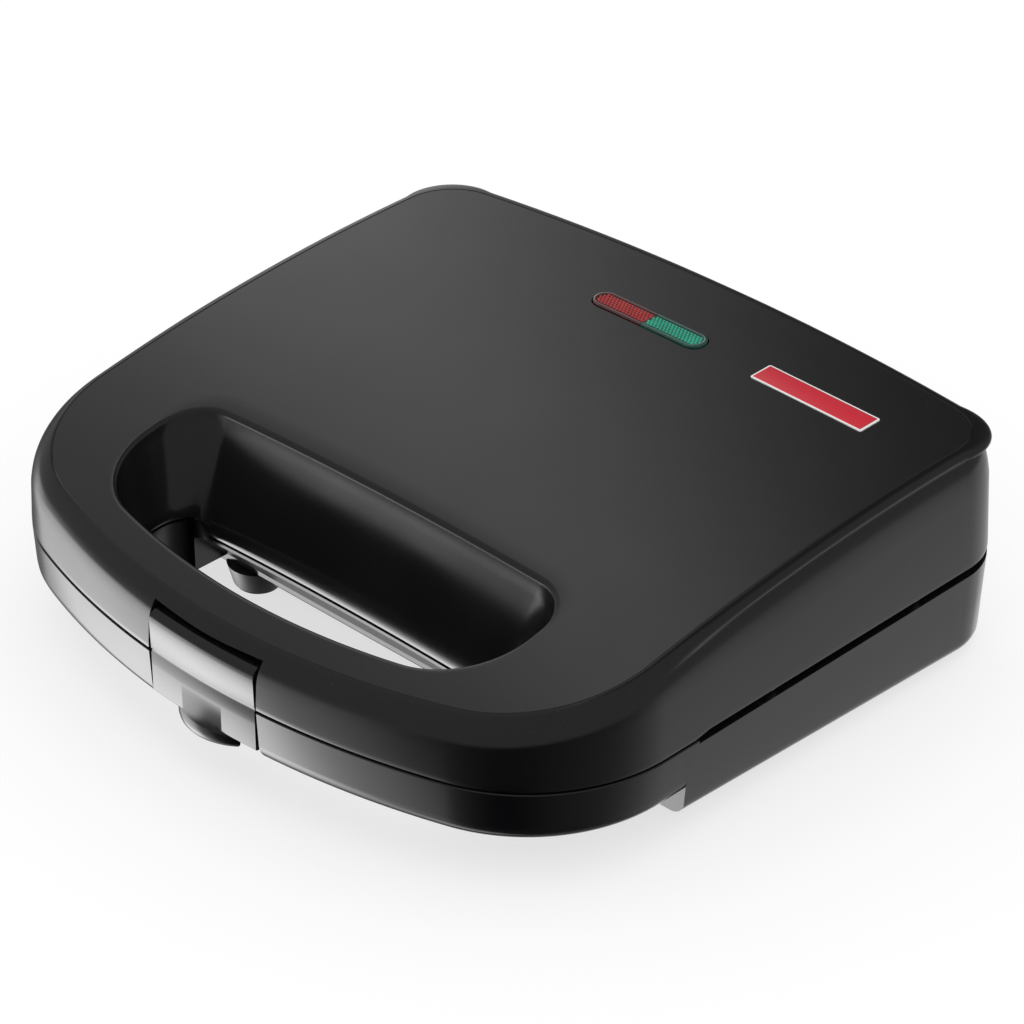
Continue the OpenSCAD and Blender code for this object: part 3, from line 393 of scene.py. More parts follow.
rings = [
    ring(inset(BODY, 0.3), lid_bottom(BODY)),
    ring(inset(BODY, 0.08), lid_bottom(BODY) + 0.1),
    ring(inset(BODY, 0.02), lid_bottom(BODY) + 0.35),
    ring(inset(BODY, 0.05), lid_bottom(BODY) + 1.5),
]
rings += [edge_ring(f, s, w) for f, s, w in zip(front_curve, side_curve, swell_curve)][:-1]
rings += [edge_ring(p, p) for p in PANEL_LINE]
panel = inset(BODY, PANEL_LINE[-1][0])
rim_outer = inset(RIM, -RIM_ROUND)
rings += [over_top(between(panel, rim_outer, s)) for s in np.linspace(0, 1, 22)[1:]]
for t in np.radians([18, 36, 54, 72, 90]):
    xy = inset(RIM, -RIM_ROUND * (1 - math.sin(t)))
    rings.append(over_top(xy, 1.5 * (1 - math.cos(t))))
rim_low = rings[-1]
hole_foot = ring(HOLE[:, :2], foot_z)
rings += [between(rim_low, hole_foot, s) for s in np.linspace(0, 1, 9)[1:]]
rings += [ring(HOLE[:, :2], lip_z + 0.3), ring(inset(HOLE, -0.1), lip_z + 0.06),
          ring(inset(HOLE, -0.3), lip_z)]
hole_in = inset(HOLE, -WALL)
rings += [ring(hole_in, lip_z), ring(hole_in, foot_z - 1)]
rings.append(over_top(inset(RIM, -WALL - 0.4), WALL + 2))
under_rim = inset(RIM, -WALL - 1.5)
under_edge = inset(BODY, WALL + 6.6)
rings += [over_top(between(under_rim, under_edge, s), WALL) for s in np.linspace(0, 1, 7)]
rings += [edge_ring(EDGE_FRONT[k], EDGE_SIDE[k], 0, deeper) for k, deeper in ((2, WALL + 1), (0, WALL))]
rings.append(ring(inset(BODY, WALL), lid_bottom(BODY)))
lid = loft("lid_shell", rings, closed_ring=True)
print("lid rings:", len(rings), "faces:", len(lid.data.polygons))

# %% [markdown]
# Everything that breaks the lid's skin is cut the way a mould insert would: the recess for the
# latch, the slots in which the hinge towers stand, and the window for the two lamps.

# %% Lid cut-outs
LATCH_W = 42.6
LATCH_GAP = 0.8
LATCH_TOP = SEAM_Z + 13.2
LATCH_BOTTOM = SEAM_Z - 13.8
LATCH_PIN_Y = FRONT_Y + 6.2
LATCH_PIN_Z = SEAM_Z + 9.6
HINGE_X = 52
TOWER_W = 15
TOWER_R = 5
LENS_Y = REAR_Y - 37.5
LENS_L = 44
LENS_W = 9
LENS_TOP = top_z(0, LENS_Y)
LATCH_SWING_R = 6
SLOT_GAP = 0.6


def latch_recess(piece):
    """Room for the latch: a flat-backed recess and a round one in which its top edge turns."""
    half = LATCH_W / 2 + LATCH_GAP
    before = FRONT_Y - 5
    cut(piece, block((-half, before, LATCH_BOTTOM - 9), (half, LATCH_PIN_Y + 1.2, LATCH_TOP - 3.7)))
    cut(piece, block((-half, before, LATCH_TOP - 5), (half, LATCH_PIN_Y, LATCH_TOP + 0.3)))
    cut(piece, rod(LATCH_SWING_R, (-half, LATCH_PIN_Y, LATCH_PIN_Z),
                   (half, LATCH_PIN_Y, LATCH_PIN_Z), (0, math.pi / 2, 0)))


def stadium_rings(length, width, levels, sides=24):
    """Rings of a bar with round ends about the lamp window, one for each (grow, z)."""
    a = np.radians(np.linspace(-90, 90, sides))
    right = np.stack([np.cos(a), np.sin(a)], 1)
    out = []
    for grow, z in levels:
        r = width / 2 + grow
        end = right * r + np.array([(length - width) / 2, 0])
        xy = np.vstack([end, -end]) + np.array([0, LENS_Y])
        out.append(ring(xy, z))
    return out


latch_recess(lid)
for side in (-1, 1):
    x = side * HINGE_X
    reach = TOWER_W / 2 + SLOT_GAP
    cut(lid, block((x - reach, AXIS_Y - TOWER_R - 1.6, SEAM_Z - 1),
                   (x + reach, REAR_Y + 20, AXIS_Z + TOWER_R + 4.5)))
cut(lid, loft("window", stadium_rings(LENS_L, LENS_W, [(0.2, LENS_TOP - 8), (0.2, LENS_TOP + 5)])))
settle(lid, "lid", "upper_cover")

# %% [markdown]
# The base is two moulded forms in one: a shallow tray that makes the lower half of the handle,
# and a deeper pan behind it that holds the heater and stands on the feet. The pan's underside
# slopes, so the toaster stands level. Under the finger opening the wall leans back, which gives
# room to the fingertips.

# %% Base sizes
HANDLE_UNDER_Z = SEAM_Z - 17.5
UNDER_FRONT_Z = 7.6
UNDER_REAR_Z = 2
DEEP_Y = FRONT_Y + 71.6
UNDER_SLOPE = (UNDER_FRONT_Z - UNDER_REAR_Z) / (REAR_Y - 22 - DEEP_Y)
RECESS_TOP = 6
RECESS_HALF_W = HOLE_HALF_W - 4


def under_z(y):
    return UNDER_FRONT_Z - UNDER_SLOPE * (y - DEEP_Y)


def base_inset(z):
    return DRAFT * (SEAM_Z - z)


def wall_ring(z, extra=0.0):
    return ring(inset(BODY, base_inset(z) + extra), z)


def fillet_rings(radius, z_floor, low_z, steps=7):
    """Rings round a bottom edge, from the underside out to the wall."""
    out = []
    for t in np.radians(np.linspace(90, 0, steps)):
        xy = inset(BODY, base_inset(low_z) + radius * (1 - math.cos(t)))
        out.append(ring(xy, z_floor(xy[:, 1]) + radius * (1 - math.sin(t))))
    return out


print("underside slopes", round(math.degrees(math.atan(UNDER_SLOPE)), 2), "degrees")

# %% [markdown]
# The outer forms are joined first and the hollow is taken out afterwards, less a sleeve round
# the finger opening, so that one wall is left everywhere.

# %% Base skin
top = SEAM_Z - SEAM_GAP / 2
mid_z = HANDLE_UNDER_Z + 6
base = loft("base_shell", fillet_rings(6, lambda y: np.full_like(y, HANDLE_UNDER_Z), mid_z)
            + [wall_ring(top - 0.3), wall_ring(top, 0.25)])
deep = loft("deep", fillet_rings(5, under_z, UNDER_REAR_Z + 5)
            + [wall_ring(mid_z), wall_ring(top - 0.3), wall_ring(top, 0.25)])
combine(deep, block((-FAR, DEEP_Y, LOW_DOWN), (FAR, FAR, HIGH_UP)), "INTERSECT")
combine(base, deep, "UNION")

hollow = loft("hollow", [wall_ring(HANDLE_UNDER_Z + WALL, WALL + 2), wall_ring(mid_z, WALL),
                         ring(inset(BODY, WALL), SEAM_Z + 2)])
narrow = inset(BODY, WALL + 1.5)
deep_hollow = loft("deep_hollow", [ring(narrow, 2 * LOW_DOWN), ring(narrow, mid_z - 4),
                                   ring(inset(BODY, WALL), SEAM_Z + 2)])
FLOOR_FROM_Y = DEEP_Y + WALL
FLOOR_TO_Y = 130
floor_side = [(FLOOR_FROM_Y, under_z(FLOOR_FROM_Y) + WALL), (FLOOR_TO_Y, under_z(FLOOR_TO_Y) + WALL),
              (FLOOR_TO_Y, HIGH_UP), (FLOOR_FROM_Y, HIGH_UP)]
combine(deep_hollow, prism(floor_side, -FAR, FAR), "INTERSECT")
combine(hollow, deep_hollow, "UNION")
cut(hollow, loft("sleeve", [ring(inset(HOLE, -WALL), z) for z in (LOW_DOWN, HIGH_UP)]))


def recess(grow):
    """The fingertips' space under the opening's rear edge, grown by a wall for the sleeve."""
    slope = np.array([HOLE_BACK_Y + 0.7, SEAM_Z - RECESS_TOP]) - np.array([DEEP_Y + 1, UNDER_FRONT_Z])
    shift = grow * np.array([-slope[1], slope[0]]) / np.linalg.norm(slope) * np.array([-1, -1])
    low = np.array([DEEP_Y + 1, UNDER_FRONT_Z]) + shift
    high = np.array([HOLE_BACK_Y + 0.7, SEAM_Z - RECESS_TOP]) + shift
    further = low - 0.8 * slope
    half = RECESS_HALF_W + grow
    return prism([(HOLE_BACK_Y - 14, -12), further, low, high, (HOLE_BACK_Y - 14, high[1])], -half, half)


LIP_HALF_W = HOLE_HALF_W - 9
GLAND_R = 6
GLAND_Z = SEAM_Z - 14
cut(hollow, recess(WALL))
cut(base, hollow)
cut(base, loft("opening", [ring(HOLE[:, :2], z) for z in (LOW_DOWN, HIGH_UP)]))
cut(base, recess(0))
cut(base, block((-LIP_HALF_W, HOLE_BACK_Y - 7, SEAM_Z - LIP_DROP - SEAM_GAP),
                (LIP_HALF_W, HOLE_BACK_Y + 7, SEAM_Z + 5)))
cut(base, block((-FAR, GAP_FROM_Y, SEAM_Z - SIDE_GAP / 2), (FAR, FAR, SEAM_Z + 5)))
latch_recess(base)
cut(base, rod(GLAND_R, (0, REAR_Y - 12, GLAND_Z), (0, REAR_Y + 8, GLAND_Z), (math.pi / 2, 0, 0)))
settle(base, "base", "lower_housing")

# %% [markdown]
# The latch is a curved clip that follows the handle's bow: a skin plate of even thickness, a
# rolled top edge that turns on a pin, and a half-round finger tab at the bottom. Its section is
# drawn once and swung about the bow's own centre, so that its face stays flush with the lid.

# %% Latch
BOW_CENTRE_Y = FRONT_Y + FRONT_BOW_R
LATCH_STEPS = 40
LIP_R = 19.4
LIP_OUT = 2


def swung(section, half_w):
    """Rings of a section of (depth from the bow, z) points, swung along the front bow."""
    out = []
    reach = math.asin(half_w / FRONT_BOW_R)
    for a in np.linspace(-reach, reach, LATCH_STEPS):
        r = FRONT_BOW_R - np.array([p[0] for p in section])
        out.append(np.column_stack([r * math.sin(a), BOW_CENTRE_Y - r * math.cos(a),
                                    [p[1] for p in section]]))
    return out


def quarter(cy, cz, r, a0, a1, n=9):
    a = np.radians(np.linspace(a0, a1, n))
    return [(cy - r * math.cos(t), cz + r * math.sin(t)) for t in a]


top_face = LATCH_TOP - 0.1
section = quarter(3.2, top_face - 3.2, 3.2, 0, 80, 12)
section += quarter(5.6, top_face - 1.9, 1.3, 80, -40, 6)
section += quarter(4.2, top_face - 4.6, 1.6, 120, 180, 4)
section += [(2.6, top_face - 7.5), (2.6, LATCH_BOTTOM + 0.5)]
section += quarter(2.1, LATCH_BOTTOM + 0.5, 0.5, 180, 270, 4)
section += quarter(1.15, LATCH_BOTTOM + 0.9, 0.9, 270, 360, 6)
section += [(0.25, 27.2), (0.25, SEAM_Z - 0.75), (0.5, SEAM_Z - 0.35), (0.5, SEAM_Z + 0.35),
            (0.25, SEAM_Z + 0.75)]
latch = loft("latch_clip", swung(section, LATCH_W / 2 - 0.05))

tab_y = FRONT_Y - LIP_OUT + LIP_R
TAB_EDGE = [(4.2, -4.4), (1.6, -4.3), (0.7, -3.9), (0.2, -3.2), (0, -2.4), (0, -0.4), (0.5, 0.6), (3, 5)]
tab = turned("tab", 0, tab_y, [(LIP_R - into, LATCH_BOTTOM + up) for into, up in TAB_EDGE], 96)
combine(tab, block((-20, FRONT_Y - 10, LATCH_BOTTOM - 8), (20, FRONT_Y + 2.9, LATCH_BOTTOM + 8)),
        "INTERSECT")
combine(latch, tab, "UNION")
print("latch faces so far:", len(latch.data.polygons))

# %% [markdown]
# Ears behind the clip carry its pin. They are plain round lugs, each with a neck back to the
# skin, and only show when the latch swings out. The bar below them is the nose that catches.

# %% Latch ears
EAR_X = 13.5
EAR_R = 2.3
EAR_HALF_T = 1.5
NOSE_HALF_W = 9
skin_y = FRONT_Y + 2.2
lug = [(LATCH_PIN_Y + EAR_R * math.cos(t), LATCH_PIN_Z + EAR_R * math.sin(t))
       for t in np.radians(np.linspace(-90, 90, 17))]
lug += [(skin_y, LATCH_PIN_Z + EAR_R), (skin_y, LATCH_PIN_Z - EAR_R)]
for x in (-EAR_X, EAR_X):
    combine(latch, prism(lug, x - EAR_HALF_T, x + EAR_HALF_T), "UNION")
combine(latch, block((-NOSE_HALF_W, skin_y, LATCH_BOTTOM + 1.5),
                     (NOSE_HALF_W, FRONT_Y + 6.8, LATCH_BOTTOM + 3.3)), "UNION")
settle(latch, "latch", "latch", 40)

# %% [markdown]
# Two lamps shine through one window: a raised bar with round ends, red on the left and green on
# the right. Each lens is a clear tinted moulding with a smooth rim, and rows of small prisms
# under its middle catch the light. The prisms are real domes here, set in staggered rows on a
# floor that lies just below the rim, so they glint from every side.

# %% Lenses
LENS_STAND = 0.6
PRISM_PITCH = 1.25
PRISM_R = 0.52
ROW_PITCH = PRISM_PITCH * math.sqrt(3) / 2
LENS_RIM = 1.2
LENS_REACH = 30


def prism_domes(name, low_x, high_x):
    """Small domes in staggered rows over one half of the window."""
    bpy.ops.mesh.primitive_uv_sphere_add(segments=8, ring_count=6, radius=PRISM_R * MM)
    seed = bpy.context.object
    bpy.ops.object.mode_set(mode="EDIT")
    bpy.ops.mesh.select_all(action="SELECT")
    bpy.ops.mesh.bisect(plane_co=(0, 0, 0), plane_no=(0, 0, 1), clear_inner=True, use_fill=True)
    bpy.ops.object.mode_set(mode="OBJECT")
    reach = LENS_W / 2 - LENS_RIM - 0.25
    floor_z = LENS_TOP + LENS_STAND - 0.45
    domes = []
    rows = int((LENS_W / 2 - LENS_RIM) / ROW_PITCH)
    for row in range(-rows, rows + 1):
        y = row * ROW_PITCH
        for col in range(-LENS_REACH, LENS_REACH + 1):
            x = (col + (row % 2) / 2) * PRISM_PITCH
            over = max(abs(x) - (LENS_L - LENS_W) / 2, 0)
            if not low_x + PRISM_R < x < high_x - PRISM_R or math.hypot(over, y) > reach:
                continue
            dome = bpy.data.objects.new("dome", seed.data.copy())
            dome.data.transform(Matrix.Translation(Vector((x, y + LENS_Y, floor_z)) * MM))
            bpy.context.collection.objects.link(dome)
            domes.append(dome)
    bpy.data.objects.remove(seed)
    pick(*domes)
    bpy.ops.object.join()
    piece = bpy.context.object
    piece.name = name
    print(name, "domes:", len(domes))
    return piece


def lens(name, low_x, high_x, solid):
    """One half of the bar: a smooth rim round a sunk floor, with the prisms on it."""
    top_at = LENS_TOP + LENS_STAND
    levels = [(0, LENS_TOP - 3), (0, top_at - 0.35), (-0.12, top_at - 0.12), (-0.35, top_at),
              (-1.0, top_at), (-LENS_RIM, top_at - 0.12), (-LENS_RIM - 0.08, top_at - 0.4)]
    half = loft(name, stadium_rings(LENS_L - 0.4, LENS_W - 0.4, levels))
    combine(half, block((low_x, LENS_Y - 10, LENS_TOP - 6), (high_x, LENS_Y + 10, LENS_TOP + 6)),
            "INTERSECT")
    settle(half, "lid", solid, 50)
    return half, settle(prism_domes(name + "_prisms", low_x, high_x), "lid", None, 60)


SPLIT_GAP = 0.1
lens_red, prisms_red = lens("lamp_lens_red", -LENS_REACH, -SPLIT_GAP, "lens_red")
lens_green, prisms_green = lens("lamp_lens_green", SPLIT_GAP, LENS_REACH, "lens_green")

# %% [markdown]
# A thin printed plate sits in front of the hinge, to the right of the lamps: red, with a narrow
# pale border. It is left bare. The border is part of the finish, so the plate itself is only a
# bar with softly rounded corners and edges that follows the lid's slope.

# %% Label plate
LABEL_X = BODY_W / 2 - 53.2
LABEL_Y = REAR_Y - 37
LABEL_L = 42
LABEL_W = 9
LABEL_T = 0.4


def round_box(half_l, half_w, corner, n=8):
    a = np.radians(np.linspace(0, 90, n))
    arm = np.array([half_l - corner, half_w - corner])
    corner_xy = arm + corner * np.stack([np.cos(a), np.sin(a)], 1)
    return np.vstack([corner_xy, corner_xy[::-1] * (-1, 1), -corner_xy, corner_xy[::-1] * (1, -1)])


def label_ring(shrink, lift):
    xy = round_box(LABEL_L / 2 - shrink, LABEL_W / 2 - shrink, 0.6) + (LABEL_X, LABEL_Y)
    return ring(xy, top_z(xy[:, 0], xy[:, 1]) + lift)


label = loft("label_plate_skin", [label_ring(0, -0.05), label_ring(0, LABEL_T - 0.12),
                                  label_ring(0.04, LABEL_T - 0.04), label_ring(0.12, LABEL_T)])
settle(label, "lid", "label_plate")

# %% [markdown]
# The front feet are short cones under the handle's end of the pan, each with a soft pad.
# The rear ones are plain rubber buttons. A tiny round runs along every edge, because a moulded
# or turned piece never has a perfectly sharp one.

# %% Feet
FRONT_FOOT = (62, FRONT_Y + 78)
REAR_FOOT = (88, REAR_Y - 22)
PAD_T = 1.2


def both_sides(name, x, y, profile):
    """The same round piece on the right and the left, joined into one object."""
    pair = [turned(name, s * x, y, profile) for s in (1, -1)]
    pick(*pair)
    bpy.ops.object.join()
    return pair[0]


front_feet = both_sides("front_foot_cones", *FRONT_FOOT,
                        [(7.2, PAD_T), (7.5, PAD_T + 0.1), (7.68, PAD_T + 0.4), (9.5, PAD_T + 7.2)])
settle(front_feet, "base", "front_feet", 40)
front_pads = both_sides("front_foot_pads_soft", *FRONT_FOOT,
                        [(6.1, 0), (6.5, 0.1), (6.75, 0.35), (6.8, 0.6), (6.8, PAD_T)])
settle(front_pads, "base", "front_foot_pads", 50)
rear_feet = both_sides("rear_foot_buttons", *REAR_FOOT,
                       [(6.6, 0), (7.15, 0.15), (7.45, 0.5), (7.5, 0.9), (7.5, UNDER_REAR_Z + 0.4)])
settle(rear_feet, "base", "rear_feet", 50)

# %% [markdown]
# Hinge, gland, screws and inner plates keep the engineering model's own shape. Its meshes are
# triangles with knife-sharp edges, so a copy of each is merged and its hard edges are rounded a
# little with the Bevel modifier. That thin round is what catches the light on a real part.

# %% Softened copies of engineering parts
HARD_EDGE = 35


def softened(solid, body, width):
    """A copy of an engineering part whose hard edges are rounded by so many millimetres."""
    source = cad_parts[solid]
    piece = bpy.data.objects.new(solid + "_soft", source.data.copy())
    bpy.context.collection.objects.link(piece)
    piece.data.name = piece.name
    piece.data.materials.clear()
    pick(piece)
    bpy.ops.object.mode_set(mode="EDIT")
    bpy.ops.mesh.select_all(action="SELECT")
    bpy.ops.mesh.remove_doubles(threshold=2e-6)
    bpy.ops.mesh.dissolve_limited(angle_limit=math.radians(0.5))
    bpy.ops.object.mode_set(mode="OBJECT")
    rounding = piece.modifiers.new("rounding", "BEVEL")
    rounding.width = width * MM
    rounding.segments = 2
    rounding.limit_method = "ANGLE"
    rounding.angle_limit = math.radians(HARD_EDGE)
    bpy.ops.object.modifier_apply(modifier=rounding.name)
    return settle(piece, body, solid, HARD_EDGE)


SOFTENED = {
    "hinge_towers": ("base", 0.5), "lid_hinge_arms": ("lid", 0.35), "hinge_pins": ("lid", 0.3),
    "cord_gland": ("base", 0.3), "latch_catch": ("base", 0.3), "latch_bracket": ("lid", 0.2),
    "upper_plate": ("lid", 0.5), "lower_plate": ("base", 0.5), "upper_frame": ("lid", 0.25),
    "lower_frame": ("base", 0.25), "upper_case_screws": ("lid", 0.12),
    "lower_case_screws": ("base", 0.12), "terminal_block": ("base", 0.3),
}
soft = {solid: softened(solid, body, width) for solid, (body, width) in SOFTENED.items()}

# %% [markdown]
# Finishes are built from a few small node groups, each an effect that several materials share.
# A group only gives out values that vary over the surface; the shader stays in the material,
# where its gloss can be set plainly. All patterns read Object coordinates, in metres, so a
# scale of 1000 gives detail about a millimetre across.

# %% Node helpers
def link_in(tree, socket, value):
    if isinstance(value, bpy.types.NodeSocket):
        tree.links.new(value, socket)
    elif value is not None:
        socket.default_value = value


def node(tree, kind, settings=None, **inputs):
    """Adds one node; settings are its own properties, inputs its sockets by name."""
    made = tree.nodes.new(kind)
    for key_name, value in (settings or {}).items():
        setattr(made, key_name, value)
    for name, value in inputs.items():
        link_in(tree, made.inputs[name.replace("_", " ")], value)
    return made


def object_place(tree):
    return tree.nodes.new("ShaderNodeTexCoord").outputs["Object"]


def math_node(tree, operation, a, b=None):
    made = node(tree, "ShaderNodeMath", {"operation": operation})
    link_in(tree, made.inputs[0], a)
    link_in(tree, made.inputs[1], b)
    return made.outputs[0]


def times(tree, a, b):
    return math_node(tree, "MULTIPLY", a, b)


MIX_SOCKETS = {"FLOAT": (2, 0), "RGBA": (6, 2)}


def mix_node(tree, kind, share, a, b):
    """Blends two values or two colours; each kind has its own sockets on the node."""
    made = node(tree, "ShaderNodeMix", {"data_type": kind})
    first, result = MIX_SOCKETS[kind]
    for socket, value in ((0, share), (first, a), (first + 1, b)):
        link_in(tree, made.inputs[socket], value)
    return made.outputs[result]


def ramp_node(tree, value, stops):
    """A smooth step; stops are from, to, the result at from and the result at to."""
    made = tree.nodes.new("ShaderNodeMapRange")
    made.interpolation_type = "SMOOTHSTEP"
    link_in(tree, made.inputs[0], value)
    for k, v in enumerate(stops, 1):
        link_in(tree, made.inputs[k], v)
    return made.outputs[0]


def new_group(name, inputs, outputs):
    tree = bpy.data.node_groups.new(name, "ShaderNodeTree")
    for label_text, default in inputs.items():
        socket = tree.interface.new_socket(label_text, in_out="INPUT", socket_type="NodeSocketFloat")
        socket.default_value = default
    for label_text in outputs:
        tree.interface.new_socket(label_text, in_out="OUTPUT", socket_type="NodeSocketFloat")
    start = tree.nodes.new("NodeGroupInput")
    end = tree.nodes.new("NodeGroupOutput")
    return tree, start.outputs, end.inputs, object_place(tree)


def use_group(tree, group, **inputs):
    made = tree.nodes.new("ShaderNodeGroup")
    made.node_tree = group
    for name, value in inputs.items():
        link_in(tree, made.inputs[name], value)
    return made.outputs


# %% [markdown]
# Three shared effects. Moulded grain is the faint orange peel and long waviness of a moulding.
# Dust is a sprinkle of fine pale specks, thicker on faces that look up. Drawn lines are the fine
# streaks of rolled or brushed metal, made by stretching noise along one direction.

# %% Shared effects
grain, g_in, g_out, place = new_group("moulded_grain", {"Peel": 900, "Wave": 45}, ["Height", "Tone"])
peel = node(grain, "ShaderNodeTexNoise", Vector=place, Scale=g_in["Peel"], Detail=2.0)
wave = node(grain, "ShaderNodeTexNoise", Vector=place, Scale=g_in["Wave"], Detail=1.0)
both = math_node(grain, "ADD", times(grain, peel.outputs["Fac"], 0.35),
                 times(grain, wave.outputs["Fac"], 0.65))
grain.links.new(both, g_out["Height"])
grain.links.new(wave.outputs["Fac"], g_out["Tone"])

dust, d_in, d_out, place = new_group("settled_dust", {"Scale": 1400, "Amount": 0.5}, ["Mask"])
specks = node(dust, "ShaderNodeTexVoronoi", Vector=place, Scale=d_in["Scale"])
small = ramp_node(dust, specks.outputs["Distance"], (0.22, 0.10, 0, 1))
patch = node(dust, "ShaderNodeTexNoise", Vector=place, Scale=70.0, Detail=3.0)
cell = specks.outputs["Position"]
rare = node(dust, "ShaderNodeTexWhiteNoise", {"noise_dimensions": "3D"}, Vector=cell)
few = ramp_node(dust, rare.outputs["Value"], (0.86, 0.93, 0, 1))
thick = ramp_node(dust, patch.outputs["Fac"], (0.42, 0.7, 0.25, 1))
normal = dust.nodes.new("ShaderNodeNewGeometry").outputs["Normal"]
facing = node(dust, "ShaderNodeSeparateXYZ", Vector=normal)
upward = ramp_node(dust, facing.outputs["Z"], (0.1, 0.9, 0.15, 1))
mask = times(dust, times(dust, small, few), times(dust, thick, upward))
dust.links.new(times(dust, mask, d_in["Amount"]), d_out["Mask"])

lines, l_in, l_out, place = new_group("drawn_lines", {"Fine": 4000, "Long": 60}, ["Streak", "Stain"])
spread = node(lines, "ShaderNodeCombineXYZ", X=l_in["Long"], Y=l_in["Fine"], Z=l_in["Fine"])
stretched = node(lines, "ShaderNodeVectorMath", {"operation": "MULTIPLY"})
lines.links.new(place, stretched.inputs[0])
lines.links.new(spread.outputs[0], stretched.inputs[1])
streak = node(lines, "ShaderNodeTexNoise", Vector=stretched.outputs[0], Scale=1.0, Detail=3.0)
stain = node(lines, "ShaderNodeTexNoise", Vector=place, Scale=85.0, Detail=4.0)
lines.links.new(streak.outputs["Fac"], l_out["Streak"])
lines.links.new(stain.outputs["Fac"], l_out["Stain"])
print("shared effects:", [g.name for g in (grain, dust, lines)])

# %% [markdown]
# Each finish starts from one shader with its plain values, and gets a colour, a roughness and a
# bump that vary. The starter below makes that shader and its bump node.

# %% Starting a finish
class Finish:
    """One material: its tree, its shader and the bump that feeds the shader's normal."""

    def __init__(self, name, colour, roughness, metallic=0.0, bump=0.1, reach=0.0002, **plain):
        self.material = bpy.data.materials.new(name)
        self.material.use_nodes = True
        self.tree = self.material.node_tree
        self.shader = self.tree.nodes["Principled BSDF"]
        self.colour = (*colour, 1)
        self.shader.inputs["Base Color"].default_value = self.colour
        self.shader.inputs["Roughness"].default_value = roughness
        self.shader.inputs["Metallic"].default_value = metallic
        for socket, value in plain.items():
            self.shader.inputs[socket.replace("_", " ")].default_value = value
        self.bump = node(self.tree, "ShaderNodeBump", Strength=bump, Distance=reach)
        self.tree.links.new(self.bump.outputs[0], self.shader.inputs["Normal"])

    def use(self, group, **inputs):
        return use_group(self.tree, group, **inputs)

    def tint(self, share, other, steps=None):
        """Blends the colour so far towards another, by a mask or by a smooth step of a value."""
        if steps:
            share = ramp_node(self.tree, share, steps)
        socket = self.shader.inputs["Base Color"]
        so_far = socket.links[0].from_socket if socket.is_linked else self.colour
        self.tree.links.new(mix_node(self.tree, "RGBA", share, so_far, other), socket)

    def speckle(self, scale, edge, core, most, other):
        """Small round spots of another colour."""
        spots = node(self.tree, "ShaderNodeTexVoronoi", Scale=scale, Vector=object_place(self.tree))
        self.tint(spots.outputs["Distance"], other, (edge, core, 0, most))

    def gloss(self, value, low, high):
        varied = ramp_node(self.tree, value, (0.2, 0.8, low, high))
        self.tree.links.new(varied, self.shader.inputs["Roughness"])

    def relief(self, height):
        self.tree.links.new(height, self.bump.inputs["Height"])

    def moulded(self, peel, wave, low, high):
        """Puts moulded grain in the bump and the gloss, and gives back its slow tone."""
        surface = self.use(grain, Peel=peel, Wave=wave)
        self.relief(surface["Height"])
        self.gloss(surface["Tone"], low, high)
        return surface["Tone"]

    def on(self, *pieces):
        for piece in pieces:
            piece.data.materials.clear()
            piece.data.materials.append(self.material)
        print(self.material.name, "on", len(pieces), "pieces")


# %% [markdown]
# The shells are a hard, glossy black moulding. Nearly all that is seen of it is reflection, so
# the colour is close to black and the roughness low, with just enough peel and waviness to make
# the reflections look moulded and not like glass, and a trace of dust on the top.

# %% Black shells
black = Finish("gloss_black_moulding", (0.006, 0.006, 0.0065), 0.2, bump=0.05, reach=0.00012)
black.moulded(1100.0, 38.0, 0.16, 0.2)
black.tint(black.use(dust, Scale=1500.0, Amount=0.35)["Mask"], (0.16, 0.155, 0.15, 1))
black.on(lid, base, latch)

# %% [markdown]
# The frames, hinge blocks and front feet are the same plastic with a finer, duller grain, as the
# mould leaves it where nobody looks. Feet pads and the gland are soft rubber, dull and a little
# greyer where they rub.

# %% Satin plastic and rubber
satin = Finish("satin_black_moulding", (0.018, 0.018, 0.019), 0.42, bump=0.25, reach=0.0001)
satin.moulded(2600.0, 90.0, 0.38, 0.5)
satin.tint(satin.use(dust, Scale=1300.0, Amount=0.5)["Mask"], (0.2, 0.195, 0.19, 1))
satin.on(front_feet, *[soft[n] for n in ("hinge_towers", "latch_catch", "latch_bracket", "upper_frame",
                                         "lower_frame")])

rubber = Finish("soft_rubber", (0.022, 0.022, 0.022), 0.75, bump=0.5, reach=0.00015)
rubber_tone = rubber.moulded(3200.0, 160.0, 0.65, 0.85)
rubber.tint(rubber_tone, (0.06, 0.058, 0.056, 1), (0.5, 0.75, 0, 0.5))
rubber.on(front_pads, rear_feet, soft["cord_gland"])

# %% [markdown]
# The hot plates are cast aluminium with a sprayed non-stick coat: dark warm grey, half gloss,
# full of tiny pale flecks, and slightly browned in patches by baking.

# %% Non-stick plates
coat = Finish("non_stick_coat", (0.028, 0.027, 0.027), 0.42, bump=0.3, reach=0.00012)
coat_tone = coat.moulded(1700.0, 60.0, 0.36, 0.5)
coat.speckle(1900.0, 0.2, 0.08, 0.8, (0.16, 0.155, 0.15, 1))
coat.tint(coat_tone, (0.045, 0.035, 0.028, 1), (0.55, 0.75, 0, 0.4))
coat.on(soft["upper_plate"], soft["lower_plate"])

# %% [markdown]
# Metals. Pins, arms and screws are zinc plated steel, with a cloudy bluish-yellow stain and fine
# rolling lines. The reflectors are bright rolled aluminium. The heater's tube is dull and tinted
# brown to blue by heat, and the fuse's clip and can are tinned.

